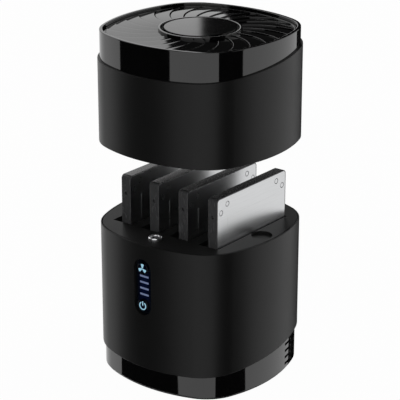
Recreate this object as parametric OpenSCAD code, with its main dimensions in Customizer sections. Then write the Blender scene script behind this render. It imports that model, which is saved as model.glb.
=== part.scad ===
// Docking tower for four small drives, with a lift-off fan lid.
// Millimetres, +Z up, the front faces -Y and the origin is under the middle of the feet.
// The lid is drawn lifted off the base, as it is when the drives are changed.

/* [Body] */
// Width of the body across opposite sides
body_w = 114; // [110:1:130]
// Distance from the centre of a side's gentle bulge to the centre of a corner's round
corner_reach = 62.5; // [60:0.5:66]
// Wall of the two outer shells
shell_wall = 2.4; // [2:0.1:3]
// Gap round pieces that are fitted together by hand
fit_gap = 0.2; // [0.1:0.05:0.4]
// Gap between pieces that move past each other
run_gap = 0.3; // [0.2:0.05:0.5]
// Wall of the neck that joins a gloss band to its shell
neck_wall = 1.2; // [0.8:0.1:1.6]
// Height of that neck
neck_h = 6; // [4:0.5:8]
// Width of the ledges inside the shells
ledge_w = 1.2; // [0.8:0.1:1.6]
// Height of the ledges inside the shells
ledge_h = 3; // [2:0.5:4]

/* [Base] */
// Height of the deck above the table
base_h = 97; // [94:1:115]
// Thickness of the deck
deck_t = 3; // [2.6:0.1:4.5]
// Wall of the shell beside the deck
deck_lip = 0.8; // [0.6:0.1:1.2]
// Shadow gap round the deck
deck_gap = 0.4; // [0.2:0.1:0.8]
// Height of the gloss band's upper edge, halfway back
base_band_z = 21; // [20:0.5:24]
// Rise of that edge towards the back, in degrees
base_band_tilt = 5.5; // [0:0.5:7]
// Step in from the shell to the gloss band
base_band_inset = 2.2; // [0.6:0.1:2.4]
// Thickness of the bottom cover's rim
cover_rim_t = 1.2; // [0.8:0.1:1.6]
// Thickness of the bottom cover's raised floor
cover_step_t = 1.2; // [0.8:0.1:1.6]
// How far the rubber feet stand below the bottom cover
foot_h = 1; // [0.6:0.1:3]
// Diameter of a rubber foot
foot_d = 12; // [8:0.5:14]
// Distance of each foot from the middle, along both sides
foot_at = 32; // [28:0.5:34]
// Depth of the socket that holds a foot
foot_socket = 0.8; // [0.4:0.1:1]

/* [Vents] */
// Rows of vent slots at each rear corner of the gloss band
vent_rows = 4; // [2:1:4]
// Slots in one row
vent_columns = 4; // [2:1:6]
// Height of the lowest row above the table
vent_z = 4.6; // [4:0.2:6]
// Step from one row to the next
vent_pitch = 4.4; // [3.6:0.2:4.6]
// Height of a slot
vent_h = 1.8; // [1:0.2:2.4]
// Angle at which the rows start, from the side towards the back
vent_from = 18; // [12:1:30]
// Angle at which the rows end
vent_to = 66; // [50:1:68]
// Angle of the web between two slots of a row
vent_web = 2.4; // [1.6:0.2:4]

/* [Drives] */
// Length of a drive
drive_l = 100; // [98:0.5:104]
// Width of a drive
drive_w = 69.85; // [69:0.05:71]
// Thickness of a drive
drive_t = 7; // [6.6:0.1:9.5]
// Radius of a drive's corners
drive_corner_r = 2.4; // [1:0.2:3]
// Width of a bay
bay_w = 13.2; // [12:0.1:14]
// Spare room in a bay in front of a drive and behind it
bay_slack = 0.8; // [0.4:0.1:1.2]
// Room between the body's side and the nearest bay
bay_margin = 16.8; // [16:0.1:19]
// Wall of a bay guide
guide_wall = 1.6; // [1:0.1:2]
// Thickness of a drive's cover plate
drive_cover_t = 0.8; // [0.6:0.1:1]
// Floor of a drive's case
drive_floor_t = 1; // [0.8:0.1:1.4]
// Side wall of a drive's case
drive_wall = 2; // [1.6:0.1:2.4]
// Thickness of the board inside a drive
drive_board_t = 1.2; // [0.8:0.1:1.4]
// Diameter of a screw head on a drive
drive_screw_d = 2.8; // [2.2:0.1:3]
// Distance from a drive's end to its side mounting holes
side_hole_at = 11.6; // [9:0.2:14]
// Diameter of the side mounting holes
side_hole_d = 2.2; // [1.6:0.1:2.6]

/* [Sockets and boards] */
// Length of a drive socket
socket_l = 42; // [40:0.5:43]
// Thickness of a drive socket
socket_t = 5.4; // [4.6:0.1:5.6]
// How far a socket reaches into its drive
socket_reach = 4.7; // [3.5:0.1:5]
// Height of a drive socket above its board
socket_h = 9.2; // [8.4:0.1:10]
// Thickness of the circuit boards
board_t = 1.6; // [1.2:0.1:2]
// Thickness of the chassis floor under the drives
floor_t = 2.5; // [2:0.1:3]
// Diameter of the chassis pillars
pillar_d = 7; // [6:0.2:7.4]
// Gap between a pillar and the bay guide beside it
pillar_gap = 1.5; // [1:0.1:2]
// Distance of each pillar from the middle, from front to back
pillar_y = 15; // [13:0.5:20]
// Gap between the ports and the board above them
port_gap = 0.8; // [0.6:0.1:3]
// Height of the rear board above the table
bridge_z = 8.5; // [7.6:0.1:9]
// Distance of the rear board from the back of the body
bridge_setback = 10; // [9:0.5:12]
// Width of the rear board
bridge_w = 46; // [44:0.5:47]
// Depth of the rear board
bridge_d = 37; // [34:0.5:39]
// Distance of each rear port from the middle
port_x = 11; // [9.5:0.5:12]
// Width of the data port
usb_w = 12; // [10:0.5:12]
// Height of the data port
usb_h = 10.9; // [9:0.1:11]
// Depth of the data port
usb_d = 17; // [15:0.5:18]
// Width of the power inlet
dc_w = 9; // [8:0.5:10]
// Height of the power inlet
dc_h = 11; // [9:0.5:11]
// Depth of the power inlet
dc_d = 14; // [12:0.5:15]
// Diameter of the power inlet's socket
dc_bore_d = 5.7; // [5:0.1:6.5]

/* [Front panel] */
// Distance of the panel from the middle of the front
panel_x = 0; // [-4:0.1:4]
// Depth of the panel's middle below the deck
panel_drop = 27.8; // [27:0.2:32]
// Width of the panel
panel_w = 12.4; // [11.6:0.2:14]
// Height of the panel
panel_h = 36; // [35:0.5:38]
// Thickness of the panel
panel_t = 1.2; // [0.8:0.1:1.3]
// Depth of the panel's face below the shell's face
panel_sink = 1.8; // [1:0.1:2]
// Wall of the shell behind the panel
panel_floor = 0.9; // [0.8:0.1:1.2]
// Diameter of the two keys
key_d = 7.8; // [7:0.1:8.4]
// Distance of each key from the panel's middle
key_at = 12.2; // [12:0.1:12.6]
// How far a key goes in
key_travel = 0.5; // [0.3:0.05:0.5]
// Length of a light bar
bar_l = 6.6; // [5:0.1:7]
// Height of a light bar
bar_h = 1.1; // [0.8:0.1:1.4]
// Step from one light bar to the next
bar_pitch = 3.95; // [3.6:0.05:4]

/* [Contact and locators] */
// Distance of the fan contact from the front of the body
contact_setback = 12.6; // [11:0.1:13]
// Diameter of the contact ring
contact_d = 8.4; // [7.6:0.1:8.6]
// Bore of the contact ring
contact_bore_d = 4.4; // [4:0.1:5]
// How far the contact ring stands above the deck
contact_out = 1.6; // [0.6:0.1:1.8]
// Diameter of the contact tip under the lid
tip_d = 3; // [2.4:0.1:3.2]
// How far the tip reaches below the lid
tip_out = 1; // [0.4:0.1:1.6]
// Diameter of the locating recesses in the deck
recess_d = 13; // [11:0.2:13]
// Depth of the locating recesses
recess_depth = 1.8; // [1.2:0.1:2]

/* [Lid] */
// Gap between the lifted lid and the drives under it
lid_clear = 22; // [15:1:30]
// Height of the lid's gloss band, halfway back
lid_band_h = 14; // [12:0.2:16]
// Rise of that edge towards the back, in degrees
lid_band_tilt = 4.8; // [0:0.2:7]
// Step in from the shell to the gloss band
lid_band_inset = 1.4; // [0.4:0.1:2]
// Room between the drives and the fan tray with the lid on
drive_headroom = 6.5; // [5:0.5:10]
// Thickness of the fan tray
tray_t = 2.5; // [2:0.1:2.5]

/* [Grille] */
// Number of swirl vanes
vane_count = 24; // [18:1:30]
// How far a vane turns back from the hub to the rim, in degrees
vane_swirl = 30; // [10:1:40]
// Share of the step between vanes that one vane covers
vane_cover = 0.78; // [0.6:0.02:0.9]
// Thickness of a vane
vane_t = 3; // [2:0.1:4]
// Gap between the fan and the grille
grille_gap = 1.5; // [1:0.1:3]
// Height from the grille's foot to the lid's top
grille_h = 8.5; // [8:0.1:10]
// Diameter of the hub cap
cap_d = 44; // [38:0.5:44]
// Width of the groove round the hub cap
cap_groove = 1.5; // [0.6:0.1:1.5]
// Width of the collar round that groove
collar_w = 2; // [1.4:0.1:2.2]
// Depth of the grille's rim below the lid's top
rim_drop = 1.8; // [1.6:0.1:3]

/* [Fan] */
// Room between the body's side and the fan's frame
fan_margin = 17; // [16:0.5:18]
// Height of the fan's frame
fan_t = 20; // [18:0.5:20]
// Wall between the fan's bore and the side of its frame
fan_wall = 2; // [2:0.1:4]
// Distance of the fan's screw holes from the sides of its frame
fan_hole_at = 4.25; // [3.8:0.05:4.5]
// Number of fan blades
blade_count = 7; // [5:1:9]
// Diameter of the fan's hub
fan_hub_d = 33; // [31:0.5:36]
// Diameter of the fan's shaft
shaft_d = 3; // [2.5:0.1:3.2]

/* [Hidden] */

$fn = 96;
half_w = body_w / 2;
// A side turns into a corner along the slope of a 44, 117, 125 triangle, whose ratios are exact
turn_cos = 0.936;
turn_sin = 0.352;
// Centre of a side's bulge and of a corner's round, from the middle, and their radii
side_c = (turn_cos - turn_sin) * corner_reach;
corner_c = turn_sin * corner_reach;
face_r = half_w + side_c;
corner_r = face_r - corner_reach;
// A cut runs this far past the face it opens
past = 1;
// Pieces of one moulding run this far into each other
bite = 0.4;
// Longer than anything in the model
far = 500;
// Radial gap of a screw or a running shaft
thread_gap = 0.05;

shell_colour = [0.10, 0.10, 0.105];
gloss_colour = [0.03, 0.03, 0.035];
frame_colour = [0.22, 0.22, 0.23];
board_colour = [0.05, 0.25, 0.15];
steel_colour = [0.72, 0.73, 0.75];
rubber_colour = [0.06, 0.06, 0.06];
light_colour = [0.45, 0.75, 1.0];
case_colour = [0.25, 0.25, 0.26];
cover_colour = [0.75, 0.75, 0.76];
brass_colour = [0.80, 0.65, 0.30];

// Gloss bands and necks
neck_inset = shell_wall + fit_gap;
band_inner = neck_inset + neck_wall;
ledge_inset = shell_wall + ledge_w;

// Heights in the base
deck_z = base_h - deck_t;
cover_z = foot_h;
band_z0 = cover_z + cover_rim_t;
cover_top = band_z0 + cover_step_t;
bridge_top = bridge_z + board_t;
backplane_z = bridge_top + max(usb_h, dc_h) + port_gap;
backplane_top = backplane_z + board_t;
socket_top = backplane_top + socket_h;
drive_z = socket_top - socket_reach;
floor_z = drive_z - floor_t;
drive_out = drive_z + drive_l - base_h;

// Bays and drives
bay_d = drive_w + 2 * bay_slack;
bay_pitch = (body_w - 2 * bay_margin - bay_w) / 3;
function bay_x(i) = (i - 2.5) * bay_pitch;
function drive_x(i) = bay_x(i) + bay_w / 2 - run_gap - drive_t / 2;
guide_half_d = bay_d / 2 + guide_wall;
guide_half_w = bay_w / 2 + guide_wall;
floor_half_w = 1.5 * bay_pitch + guide_half_w + 1;
floor_half_d = guide_half_d + 1;

// Pillars and their screws
pillar_x = 1.5 * bay_pitch + guide_half_w + pillar_gap + pillar_d / 2;
spigot_d = 4;
spigot_h = 1.5;
screw_d = 2.9;
screw_head_d = 5.6;
screw_head_h = 1.8;
screw_seat = cover_z + cover_rim_t + cover_step_t + 0.2;
pillar_z = screw_seat + 3.4;
screw_l = 11;
boss_d = screw_head_d + 3.2;

// Small board screws
small_d = 1.9;
small_head_d = 3.8;
small_head_h = 1.2;
small_l = 4.4;
small_boss_d = 5;
backplane_half_w = 1.5 * bay_pitch + bay_w / 2 + 1.5;
backplane_half_d = socket_l / 2 + 5.5;
backplane_hole_y = socket_l / 2 + 2.5;
board_hole_in = 3.5;
bridge_y1 = half_w - bridge_setback;
bridge_y0 = bridge_y1 - bridge_d;
bridge_hole_x = bridge_w / 2 - board_hole_in;
bridge_hole_ys = [bridge_y0 + board_hole_in, bridge_y1 - board_hole_in];
port_face = half_w - base_band_inset - 1.8;

// Notch and tongue of a drive
notch_w = socket_l + 2;
notch_h = socket_reach + 0.8;
tongue_w = socket_l - 4;
tongue_tip = 1;
end_screw_in = 10;
end_screw_up = 5;
side_screw_in = 3.9;
side_screw_up = 9.3;
drive_screw_top = [for (s = [-1, 1]) each [
  [s * (drive_w / 2 - end_screw_in), end_screw_up],
  [s * (drive_w / 2 - side_screw_in), side_screw_up]
]];
screw_pilot_d = 1.5;
label_margin_y = 10.4;
label_margin_z = 13.3;
label_depth = 0.2;

// Front panel
panel_z = base_h - panel_drop;
key_r = key_d / 2;
key_sink = 0.1;
flange_r = key_r + 1;
flange_t = 0.8;
panel_seat = panel_sink + panel_t + thread_gap;
pad_inset = panel_seat + panel_floor;
pad_rim = 1.7;
pad_r = face_r - pad_inset;
flange_reach = abs(panel_x) + flange_r;
pad_sag = pad_r - sqrt(pad_r * pad_r - flange_reach * flange_reach);
flange_y = half_w - pad_inset - pad_sag - run_gap;
switch_w = 6;
switch_t = 3;
plunger_d = 3.4;
plunger_h = 1;
stem_l = 1.2;
stem_gap = key_travel + 0.1;
stem_end = flange_y - flange_t - stem_l;
front_board_y = stem_end - stem_gap - plunger_h - switch_t;
front_board_w = 24;
front_board_h = 2 * key_at + switch_w + 4;
front_hole_x = 9.3;
front_boss_d = 4.4;
bar_z = panel_z + 0.6;
key_places = [panel_z + key_at, panel_z - key_at];

// Contact and locators
contact_y = half_w - contact_setback;
cup_d = contact_d + 2.4;
cup_h = 6;
recess_x = half_w - shell_wall - deck_gap - recess_d / 2 - 0.4;
lug_d = recess_d - 4 * run_gap;

// Heights in the lid, above its lower edge
lid_z = base_h + drive_out + lid_clear;
tray_z = drive_out + drive_headroom;
fan_z = tray_z + tray_t;
grille_seat = fan_z + fan_t + grille_gap;
lid_h = grille_seat + grille_h;
lid_band_z = lid_h - lid_band_h;
rim_top = lid_h - rim_drop;
hub_r = cap_d / 2 + cap_groove + collar_w;
hub_plate_t = 4.4;
cap_seat = grille_seat + hub_plate_t;
cap_top = lid_h - 0.2;
collar_top = lid_h - 0.4;
cap_peg_d = 10;
cap_peg_h = 2.4;
vane_r0 = hub_r - collar_w / 2;
vane_r1 = sqrt(2) * corner_c + corner_r;
vane_bend = 1.4;
grille_outer = band_inner + fit_gap;
grille_ring_w = 1.6;
seat_w = 1.6;

// Fan
fan_w = body_w - 2 * fan_margin;
fan_bore_d = fan_w - 2 * fan_wall;
fan_hole_pitch = fan_w - 2 * fan_hole_at;
strut_t = 2.4;
strut_w = 3;
motor_base_d = fan_hub_d - 1;
rotor_z = fan_z + strut_t + 1;
rotor_h = fan_t - strut_t - 4;
blade_tip_gap = 0.7;
hub_wall = 1.4;
hub_top_t = 2;
bearing_d = 5.2;
bearing_tube_d = 8;
bearing_z = fan_z + strut_t + 0.6;
bearing_h = 8;
stator_d = fan_hub_d - 2 * hub_wall - 3;
fan_screw_d = 4;
fan_screw_head_d = 6;
fan_screw_head_h = 1.6;
post_d = 9;
post_z = 2;
post_peg_d = 4.4;
post_peg_h = 2.5;
lead_d = 1.4;

// Plan of the body: four bulged sides and four round corners, drawn inset from the outside
module outline(inset) {
  wedge = [
    [corner_c, corner_c],
    [corner_c + far * turn_cos, corner_c + far * turn_sin],
    [corner_c + far, corner_c + far],
    [corner_c + far * turn_sin, corner_c + far * turn_cos]
  ];
  difference() {
    intersection_for (q = [0:3]) rotate(90 * q) translate([-side_c, 0]) circle(face_r - inset, $fn = 240);
    for (q = [0:3]) rotate(90 * q) polygon(wedge);
  }
  for (q = [0:3]) rotate(90 * q) {
    intersection() {
      translate([corner_c, corner_c]) circle(corner_r - inset);
      polygon(wedge);
    }
    // Ties the corner to the sides it lies between
    translate([corner_c, corner_c]) circle(corner_r - inset - bite);
  }
}

// Upright plate with the plan of the body
module plan_plate(inset, z0, z1) {
  translate([0, 0, z0]) linear_extrude(z1 - z0) outline(inset);
}

// Upright wall between two insets
module plan_wall(outer, inner, z0, z1) {
  difference() {
    plan_plate(outer, z0, z1);
    plan_plate(inner, z0 - past, z1 + past);
  }
}

// Everything below a plane that rises towards the back
module below_slope(z, tilt) {
  translate([0, 0, z]) rotate([tilt, 0, 0]) translate([-far / 2, -far / 2, -far]) cube(far);
}

// Everything above that plane
module above_slope(z, tilt) {
  translate([0, 0, z]) rotate([tilt, 0, 0]) translate([-far / 2, -far / 2, 0]) cube(far);
}

// Box centred in X and Y
module block(w, d, z0, z1) {
  translate([-w / 2, -d / 2, z0]) cube([w, d, z1 - z0]);
}

// Upright round bar
module bar(d, z0, z1) {
  translate([0, 0, z0]) cylinder(d = d, h = z1 - z0);
}

// Round bar along Y, from y0 to y1
module rod_y(d, y0, y1) {
  translate([0, y0, 0]) rotate([-90, 0, 0]) cylinder(d = d, h = y1 - y0);
}

// Copies at the four corners of a rectangle
module at_corners(x, y) {
  for (sx = [-1, 1], sy = [-1, 1]) translate([sx * x, sy * y, 0]) children();
}

// Tall panel with round ends, as a bar along Y through the front
module pill_y(w, h) {
  translate([panel_x, 0, panel_z]) {
    translate([-w / 2, -far, -(h - w) / 2]) cube([w, far, h - w]);
    for (s = [-1, 1]) translate([0, 0, s * (h - w) / 2]) rod_y(w, -far, 0);
  }
}

// Rectangle with round corners
module round_rect(w, h, r) {
  square([w - 2 * r, h], center = true);
  square([w, h - 2 * r], center = true);
  for (sx = [-1, 1], sy = [-1, 1]) translate([sx * (w / 2 - r), sy * (h / 2 - r)]) circle(r);
}

module small_screw() {
  bar(small_head_d, 0, small_head_h);
  bar(small_d, -small_l, 0);
}

// Base

module base_shell() {
  color(shell_colour) difference() {
    union() {
      difference() {
        plan_wall(0, shell_wall, 0, base_h);
        below_slope(base_band_z, base_band_tilt);
      }
      plan_wall(shell_wall - bite, ledge_inset, deck_z - ledge_h, deck_z);
      intersection() {
        pill_y(panel_w + 2 * pad_rim, panel_h + 2 * pad_rim);
        plan_wall(shell_wall - bite, pad_inset, 0, deck_z);
      }
      for (s = [-1, 1]) translate([panel_x + s * front_hole_x, 0, panel_z])
        rod_y(front_boss_d, -half_w + shell_wall - bite + pad_sag, -front_board_y);
    }
    plan_plate(deck_lip, deck_z, base_h + past);
    difference() {
      pill_y(panel_w + 2 * fit_gap, panel_h + 2 * fit_gap);
      plan_plate(panel_seat, 0, base_h);
    }
    for (z = key_places) translate([panel_x, 0, z]) rod_y(key_d + 2 * run_gap, -far, -flange_y);
    for (i = [0:3]) translate([panel_x, 0, bar_z + (i - 1.5) * bar_pitch])
      translate([-bar_l / 2 - fit_gap, -far, -bar_h / 2 - fit_gap])
        cube([bar_l + 2 * fit_gap, far, bar_h + 2 * fit_gap]);
    for (s = [-1, 1]) translate([panel_x + s * front_hole_x, 0, panel_z])
      rod_y(small_d + 2 * thread_gap, -front_board_y - small_l, -front_board_y + past);
  }
}

module deck() {
  color(shell_colour) difference() {
    plan_plate(deck_lip + deck_gap, deck_z, base_h);
    for (i = [1:4]) translate([bay_x(i), 0, 0]) block(bay_w, bay_d, deck_z - past, base_h + past);
    translate([0, -contact_y, 0]) bar(contact_d + fit_gap, deck_z - past, base_h + past);
    for (s = [-1, 1]) translate([s * recess_x, 0, 0]) bar(recess_d, base_h - recess_depth, base_h + past);
    at_corners(pillar_x, pillar_y) bar(spigot_d + fit_gap, deck_z - past, deck_z + spigot_h + fit_gap);
  }
}

// One sector of the vent rows, as seen from above
module vent_sector(from, to) {
  reach = 2 * body_w;
  mid = (from + to) / 2;
  polygon([[0, 0], [reach * cos(from), reach * sin(from)], [reach * cos(mid), reach * sin(mid)],
           [reach * cos(to), reach * sin(to)]]);
}

module vents() {
  step = (vent_to - vent_from) / vent_columns;
  for (row = [0:vent_rows - 1], column = [0:vent_columns - 1], side = [0, 1]) {
    from = vent_from + column * step;
    mirror([side, 0, 0]) translate([0, 0, vent_z + row * vent_pitch])
      linear_extrude(vent_h) vent_sector(from, from + step - vent_web);
  }
}

module port_opening(x, w, h) {
  translate([x - w / 2 - fit_gap, half_w - far / 2, bridge_top - fit_gap])
    translate([0, far / 2 - half_w / 2, 0]) cube([w + 2 * fit_gap, half_w, h + 2 * fit_gap]);
}

module base_band() {
  color(gloss_colour) difference() {
    union() {
      difference() {
        plan_wall(base_band_inset, band_inner, band_z0, base_h);
        above_slope(base_band_z, base_band_tilt);
      }
      difference() {
        plan_wall(neck_inset, band_inner, band_z0, base_h);
        above_slope(base_band_z + neck_h, base_band_tilt);
      }
    }
    vents();
    port_opening(-port_x, usb_w, usb_h);
    port_opening(port_x, dc_w, dc_h);
  }
}

module bottom_cover() {
  color(frame_colour) difference() {
    union() {
      plan_plate(base_band_inset + bite, cover_z, band_z0);
      plan_plate(band_inner + fit_gap, cover_z, cover_top);
      intersection() {
        at_corners(pillar_x, pillar_y) bar(boss_d, cover_z, pillar_z);
        plan_plate(band_inner + fit_gap, cover_z, pillar_z);
      }
      for (sx = [-1, 1], y = bridge_hole_ys) translate([sx * bridge_hole_x, y, 0])
        bar(small_boss_d, cover_z, bridge_z);
    }
    at_corners(pillar_x, pillar_y) {
      bar(screw_head_d + 2 * run_gap, cover_z - past, screw_seat);
      bar(screw_d + 2 * fit_gap, cover_z, pillar_z + past);
    }
    at_corners(foot_at, foot_at) bar(foot_d + 2 * thread_gap, cover_z - past, cover_z + foot_socket);
    for (sx = [-1, 1], y = bridge_hole_ys) translate([sx * bridge_hole_x, y, 0])
      bar(small_d + 2 * thread_gap, bridge_top - small_l - 0.4, bridge_z + past);
  }
}

module rubber_feet() {
  color(rubber_colour) at_corners(foot_at, foot_at) bar(foot_d, 0, cover_z + foot_socket);
}

module bottom_screws() {
  color(steel_colour) at_corners(pillar_x, pillar_y) difference() {
    union() {
      bar(screw_head_d, screw_seat - screw_head_h, screw_seat);
      bar(screw_d, screw_seat, screw_seat + screw_l);
    }
    for (a = [0, 90]) rotate(a) block(0.7, 3.4, screw_seat - screw_head_h - past, screw_seat - screw_head_h + 1);
  }
}

// Inner frame: the floor under the drives on four pillars
module chassis() {
  color(frame_colour) difference() {
    union() {
      intersection() {
        block(2 * floor_half_w, 2 * floor_half_d, floor_z, drive_z);
        plan_plate(band_inner + run_gap, floor_z, drive_z);
      }
      at_corners(pillar_x, pillar_y) {
        bar(pillar_d, pillar_z, deck_z);
        bar(spigot_d, deck_z - past, deck_z + spigot_h);
      }
      for (sy = [-1, 1]) translate([0, sy * pillar_y, 0]) block(2 * pillar_x, pillar_d, floor_z, drive_z);
      at_corners(bay_pitch, backplane_hole_y) bar(small_boss_d, backplane_top, floor_z + bite);
    }
    for (i = [1:4]) translate([drive_x(i), 0, 0])
      block(socket_t + 2 * run_gap, socket_l + 4 * run_gap, floor_z - past, drive_z + past);
    for (i = [1:3]) translate([bay_x(i) + bay_pitch / 2, 0, 0])
      block(bay_pitch - 2 * guide_half_w - 1, socket_l - 6, floor_z - past, drive_z + past);
    at_corners(pillar_x, pillar_y)
      bar(screw_d + 2 * thread_gap, pillar_z - past, screw_seat + screw_l + 1);
    at_corners(bay_pitch, backplane_hole_y)
      bar(small_d + 2 * thread_gap, backplane_top - past, backplane_z + small_l + 0.4);
  }
}

module bay_guide(i) {
  color(frame_colour) translate([bay_x(i), 0, 0]) difference() {
    block(2 * guide_half_w, 2 * guide_half_d, drive_z, deck_z);
    block(bay_w, bay_d, drive_z - past, deck_z + past);
  }
}

module backplane_board() {
  color(board_colour) difference() {
    block(2 * backplane_half_w, 2 * backplane_half_d, backplane_z, backplane_top);
    at_corners(bay_pitch, backplane_hole_y)
      bar(small_d + 2 * fit_gap, backplane_z - past, backplane_top + past);
  }
}

module sata_socket(i) {
  color(gloss_colour) translate([drive_x(i), 0, 0]) difference() {
    block(socket_t, socket_l, backplane_top, socket_top);
    block(drive_board_t + 2 * run_gap, tongue_w + 4 * run_gap, drive_z + tongue_tip - 0.8, socket_top + past);
  }
}

module bridge_board() {
  color(board_colour) difference() {
    translate([-bridge_w / 2, bridge_y0, bridge_z]) cube([bridge_w, bridge_d, board_t]);
    for (sx = [-1, 1], y = bridge_hole_ys) translate([sx * bridge_hole_x, y, 0])
      bar(small_d + 2 * fit_gap, bridge_z - past, bridge_top + past);
  }
}

module controller_chip() {
  chip_w = 14;
  chip_t = 1.4;
  color(gloss_colour) translate([0, bridge_y0 + bridge_d * 0.3, 0])
    block(chip_w, chip_w, bridge_top, bridge_top + chip_t);
}

module usb_port() {
  metal = 0.6;
  tongue = [usb_w - 6, usb_d - 5, 3];
  color(steel_colour) translate([-port_x, port_face, bridge_top]) {
    difference() {
      translate([-usb_w / 2, -usb_d, 0]) cube([usb_w, usb_d, usb_h]);
      translate([-usb_w / 2 + metal, -usb_d + 3, metal])
        cube([usb_w - 2 * metal, usb_d, usb_h - 2 * metal]);
    }
    translate([-tongue[0] / 2, -usb_d + 3 - bite, (usb_h - tongue[2]) / 2]) cube(tongue);
  }
}

module dc_inlet() {
  pin_d = 2;
  depth = dc_d - 4;
  color(gloss_colour) translate([port_x, port_face, bridge_top]) {
    difference() {
      translate([-dc_w / 2, -dc_d, 0]) cube([dc_w, dc_d, dc_h]);
      translate([0, 0, dc_h / 2]) rod_y(dc_bore_d, -depth, past);
    }
    translate([0, 0, dc_h / 2]) rod_y(pin_d, -depth - bite, -1.5);
  }
}

module board_screws() {
  color(steel_colour) {
    at_corners(bay_pitch, backplane_hole_y) translate([0, 0, backplane_z]) mirror([0, 0, 1]) small_screw();
    for (sx = [-1, 1], y = bridge_hole_ys)
      translate([sx * bridge_hole_x, y, bridge_top]) small_screw();
    for (s = [-1, 1]) translate([panel_x + s * front_hole_x, -front_board_y + board_t, panel_z])
      rotate([-90, 0, 0]) small_screw();
  }
}

// Front panel

module front_panel() {
  color(gloss_colour) difference() {
    intersection() {
      pill_y(panel_w, panel_h);
      plan_wall(panel_sink, panel_sink + panel_t, 0, base_h);
    }
    for (z = key_places) translate([panel_x, 0, z]) rod_y(key_d + 2 * run_gap, -far, 0);
    for (i = [0:3]) translate([panel_x, 0, bar_z + (i - 1.5) * bar_pitch])
      translate([-bar_l / 2 - fit_gap / 2, -far, -bar_h / 2 - fit_gap / 2])
        cube([bar_l + fit_gap, far, bar_h + fit_gap]);
  }
}

module front_board() {
  color(board_colour) difference() {
    translate([panel_x - front_board_w / 2, -front_board_y, panel_z - front_board_h / 2])
      cube([front_board_w, board_t, front_board_h]);
    for (s = [-1, 1]) translate([panel_x + s * front_hole_x, 0, panel_z])
      rod_y(small_d + 2 * fit_gap, -front_board_y - past, -front_board_y + board_t + past);
  }
}

module key_switches() {
  color(frame_colour) for (z = key_places) translate([panel_x, -front_board_y, z]) {
    translate([-switch_w / 2, -switch_t, -switch_w / 2]) cube([switch_w, switch_t, switch_w]);
    rod_y(plunger_d, -switch_t - plunger_h, -switch_t + bite);
  }
}

// Four light guides on one foot that stands on the front board
module light_bars() {
  foot_y = flange_y;
  foot_w = 4;
  color(light_colour) {
    intersection() {
      for (i = [0:3]) translate([panel_x - bar_l / 2, -half_w, bar_z + (i - 1.5) * bar_pitch - bar_h / 2])
        cube([bar_l, half_w - foot_y + bite, bar_h]);
      plan_plate(panel_sink + thread_gap, 0, base_h);
    }
    translate([panel_x - foot_w / 2, -foot_y, bar_z - 1.5 * bar_pitch - bar_h / 2])
      cube([foot_w, foot_y - front_board_y, 3 * bar_pitch + bar_h]);
  }
}

module key(z) {
  color(gloss_colour) translate([0, 0, z]) {
    intersection() {
      translate([panel_x, 0, 0]) rod_y(key_d, -half_w - past, -flange_y + flange_t);
      plan_plate(key_sink, -key_d, key_d);
    }
    translate([panel_x, 0, 0]) {
      rod_y(2 * flange_r, -flange_y, -flange_y + flange_t);
      rod_y(plunger_d, -flange_y, -stem_end);
    }
  }
}

module fan_key() {
  key(key_places[0]);
}

module power_key() {
  key(key_places[1]);
}

// Fan contact in the deck

module contact_ring() {
  edge = 0.6;
  h = deck_t + contact_out;
  r0 = contact_bore_d / 2;
  r1 = contact_d / 2;
  color(steel_colour) translate([0, -contact_y, deck_z]) rotate_extrude()
    polygon([[r0, 0], [r1, 0], [r1, h - edge], [r1 - edge, h], [r0 + edge, h], [r0, h - edge]]);
}

module contact_cup() {
  color(frame_colour) translate([0, -contact_y, 0]) difference() {
    bar(cup_d, deck_z - cup_h, deck_z);
    bar(contact_bore_d, deck_z - cup_h + 1.5, deck_z + past);
  }
}

// Lid

module lid_shell() {
  lug_top = 6;
  web_w = 6;
  color(shell_colour) translate([0, 0, lid_z]) {
    difference() {
      plan_wall(0, shell_wall, 0, lid_h);
      above_slope(lid_band_z, lid_band_tilt);
    }
    plan_wall(shell_wall - bite, ledge_inset, tray_z - ledge_h, tray_z);
    for (s = [-1, 1]) {
      translate([s * recess_x, 0, 0]) bar(lug_d, 0.4 - recess_depth, lug_top);
      intersection() {
        translate([s * (recess_x + half_w) / 2, 0, 0]) block(half_w - recess_x, web_w, 0.5, lug_top);
        plan_plate(shell_wall - bite, 0, lug_top);
      }
    }
  }
}

module lid_band() {
  color(gloss_colour) translate([0, 0, lid_z]) {
    difference() {
      plan_wall(lid_band_inset, band_inner, 0, lid_h);
      below_slope(lid_band_z, lid_band_tilt);
    }
    difference() {
      plan_wall(neck_inset, band_inner, 0, lid_h);
      below_slope(lid_band_z - neck_h, lid_band_tilt);
    }
    plan_wall(band_inner - bite, band_inner + seat_w, grille_seat - 2, grille_seat);
  }
}

// Point on the spiral that a vane's edge follows, from 0 inside the hub to 1 at the plan's far corner
function vane_edge(share, turn) = let(
  r = vane_r0 + share * (vane_r1 - vane_r0),
  lean = turn - vane_swirl * pow(share, vane_bend)
) [r * cos(lean), r * sin(lean)];

// Slot between two vanes, as seen from above
module vane_gap(steps = 9) {
  step = 360 / vane_count;
  near = [for (i = [0:steps]) vane_edge(i / steps, vane_cover * step)];
  next = [for (i = [steps:-1:0]) vane_edge(i / steps, step)];
  polygon(concat(near, next));
}

module lid_grille() {
  color(gloss_colour) translate([0, 0, lid_z]) difference() {
    union() {
      plan_wall(grille_outer, grille_outer + grille_ring_w, grille_seat, rim_top);
      bar(2 * hub_r, grille_seat, collar_top);
      translate([0, 0, rim_top - vane_t]) linear_extrude(vane_t) difference() {
        outline(grille_outer + grille_ring_w / 2);
        for (i = [0:vane_count - 1]) rotate(i * 360 / vane_count) vane_gap();
      }
    }
    bar(2 * (hub_r - collar_w), cap_seat, collar_top + past);
    bar(cap_peg_d + fit_gap, cap_seat - cap_peg_h - fit_gap, cap_seat + past);
  }
}

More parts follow.
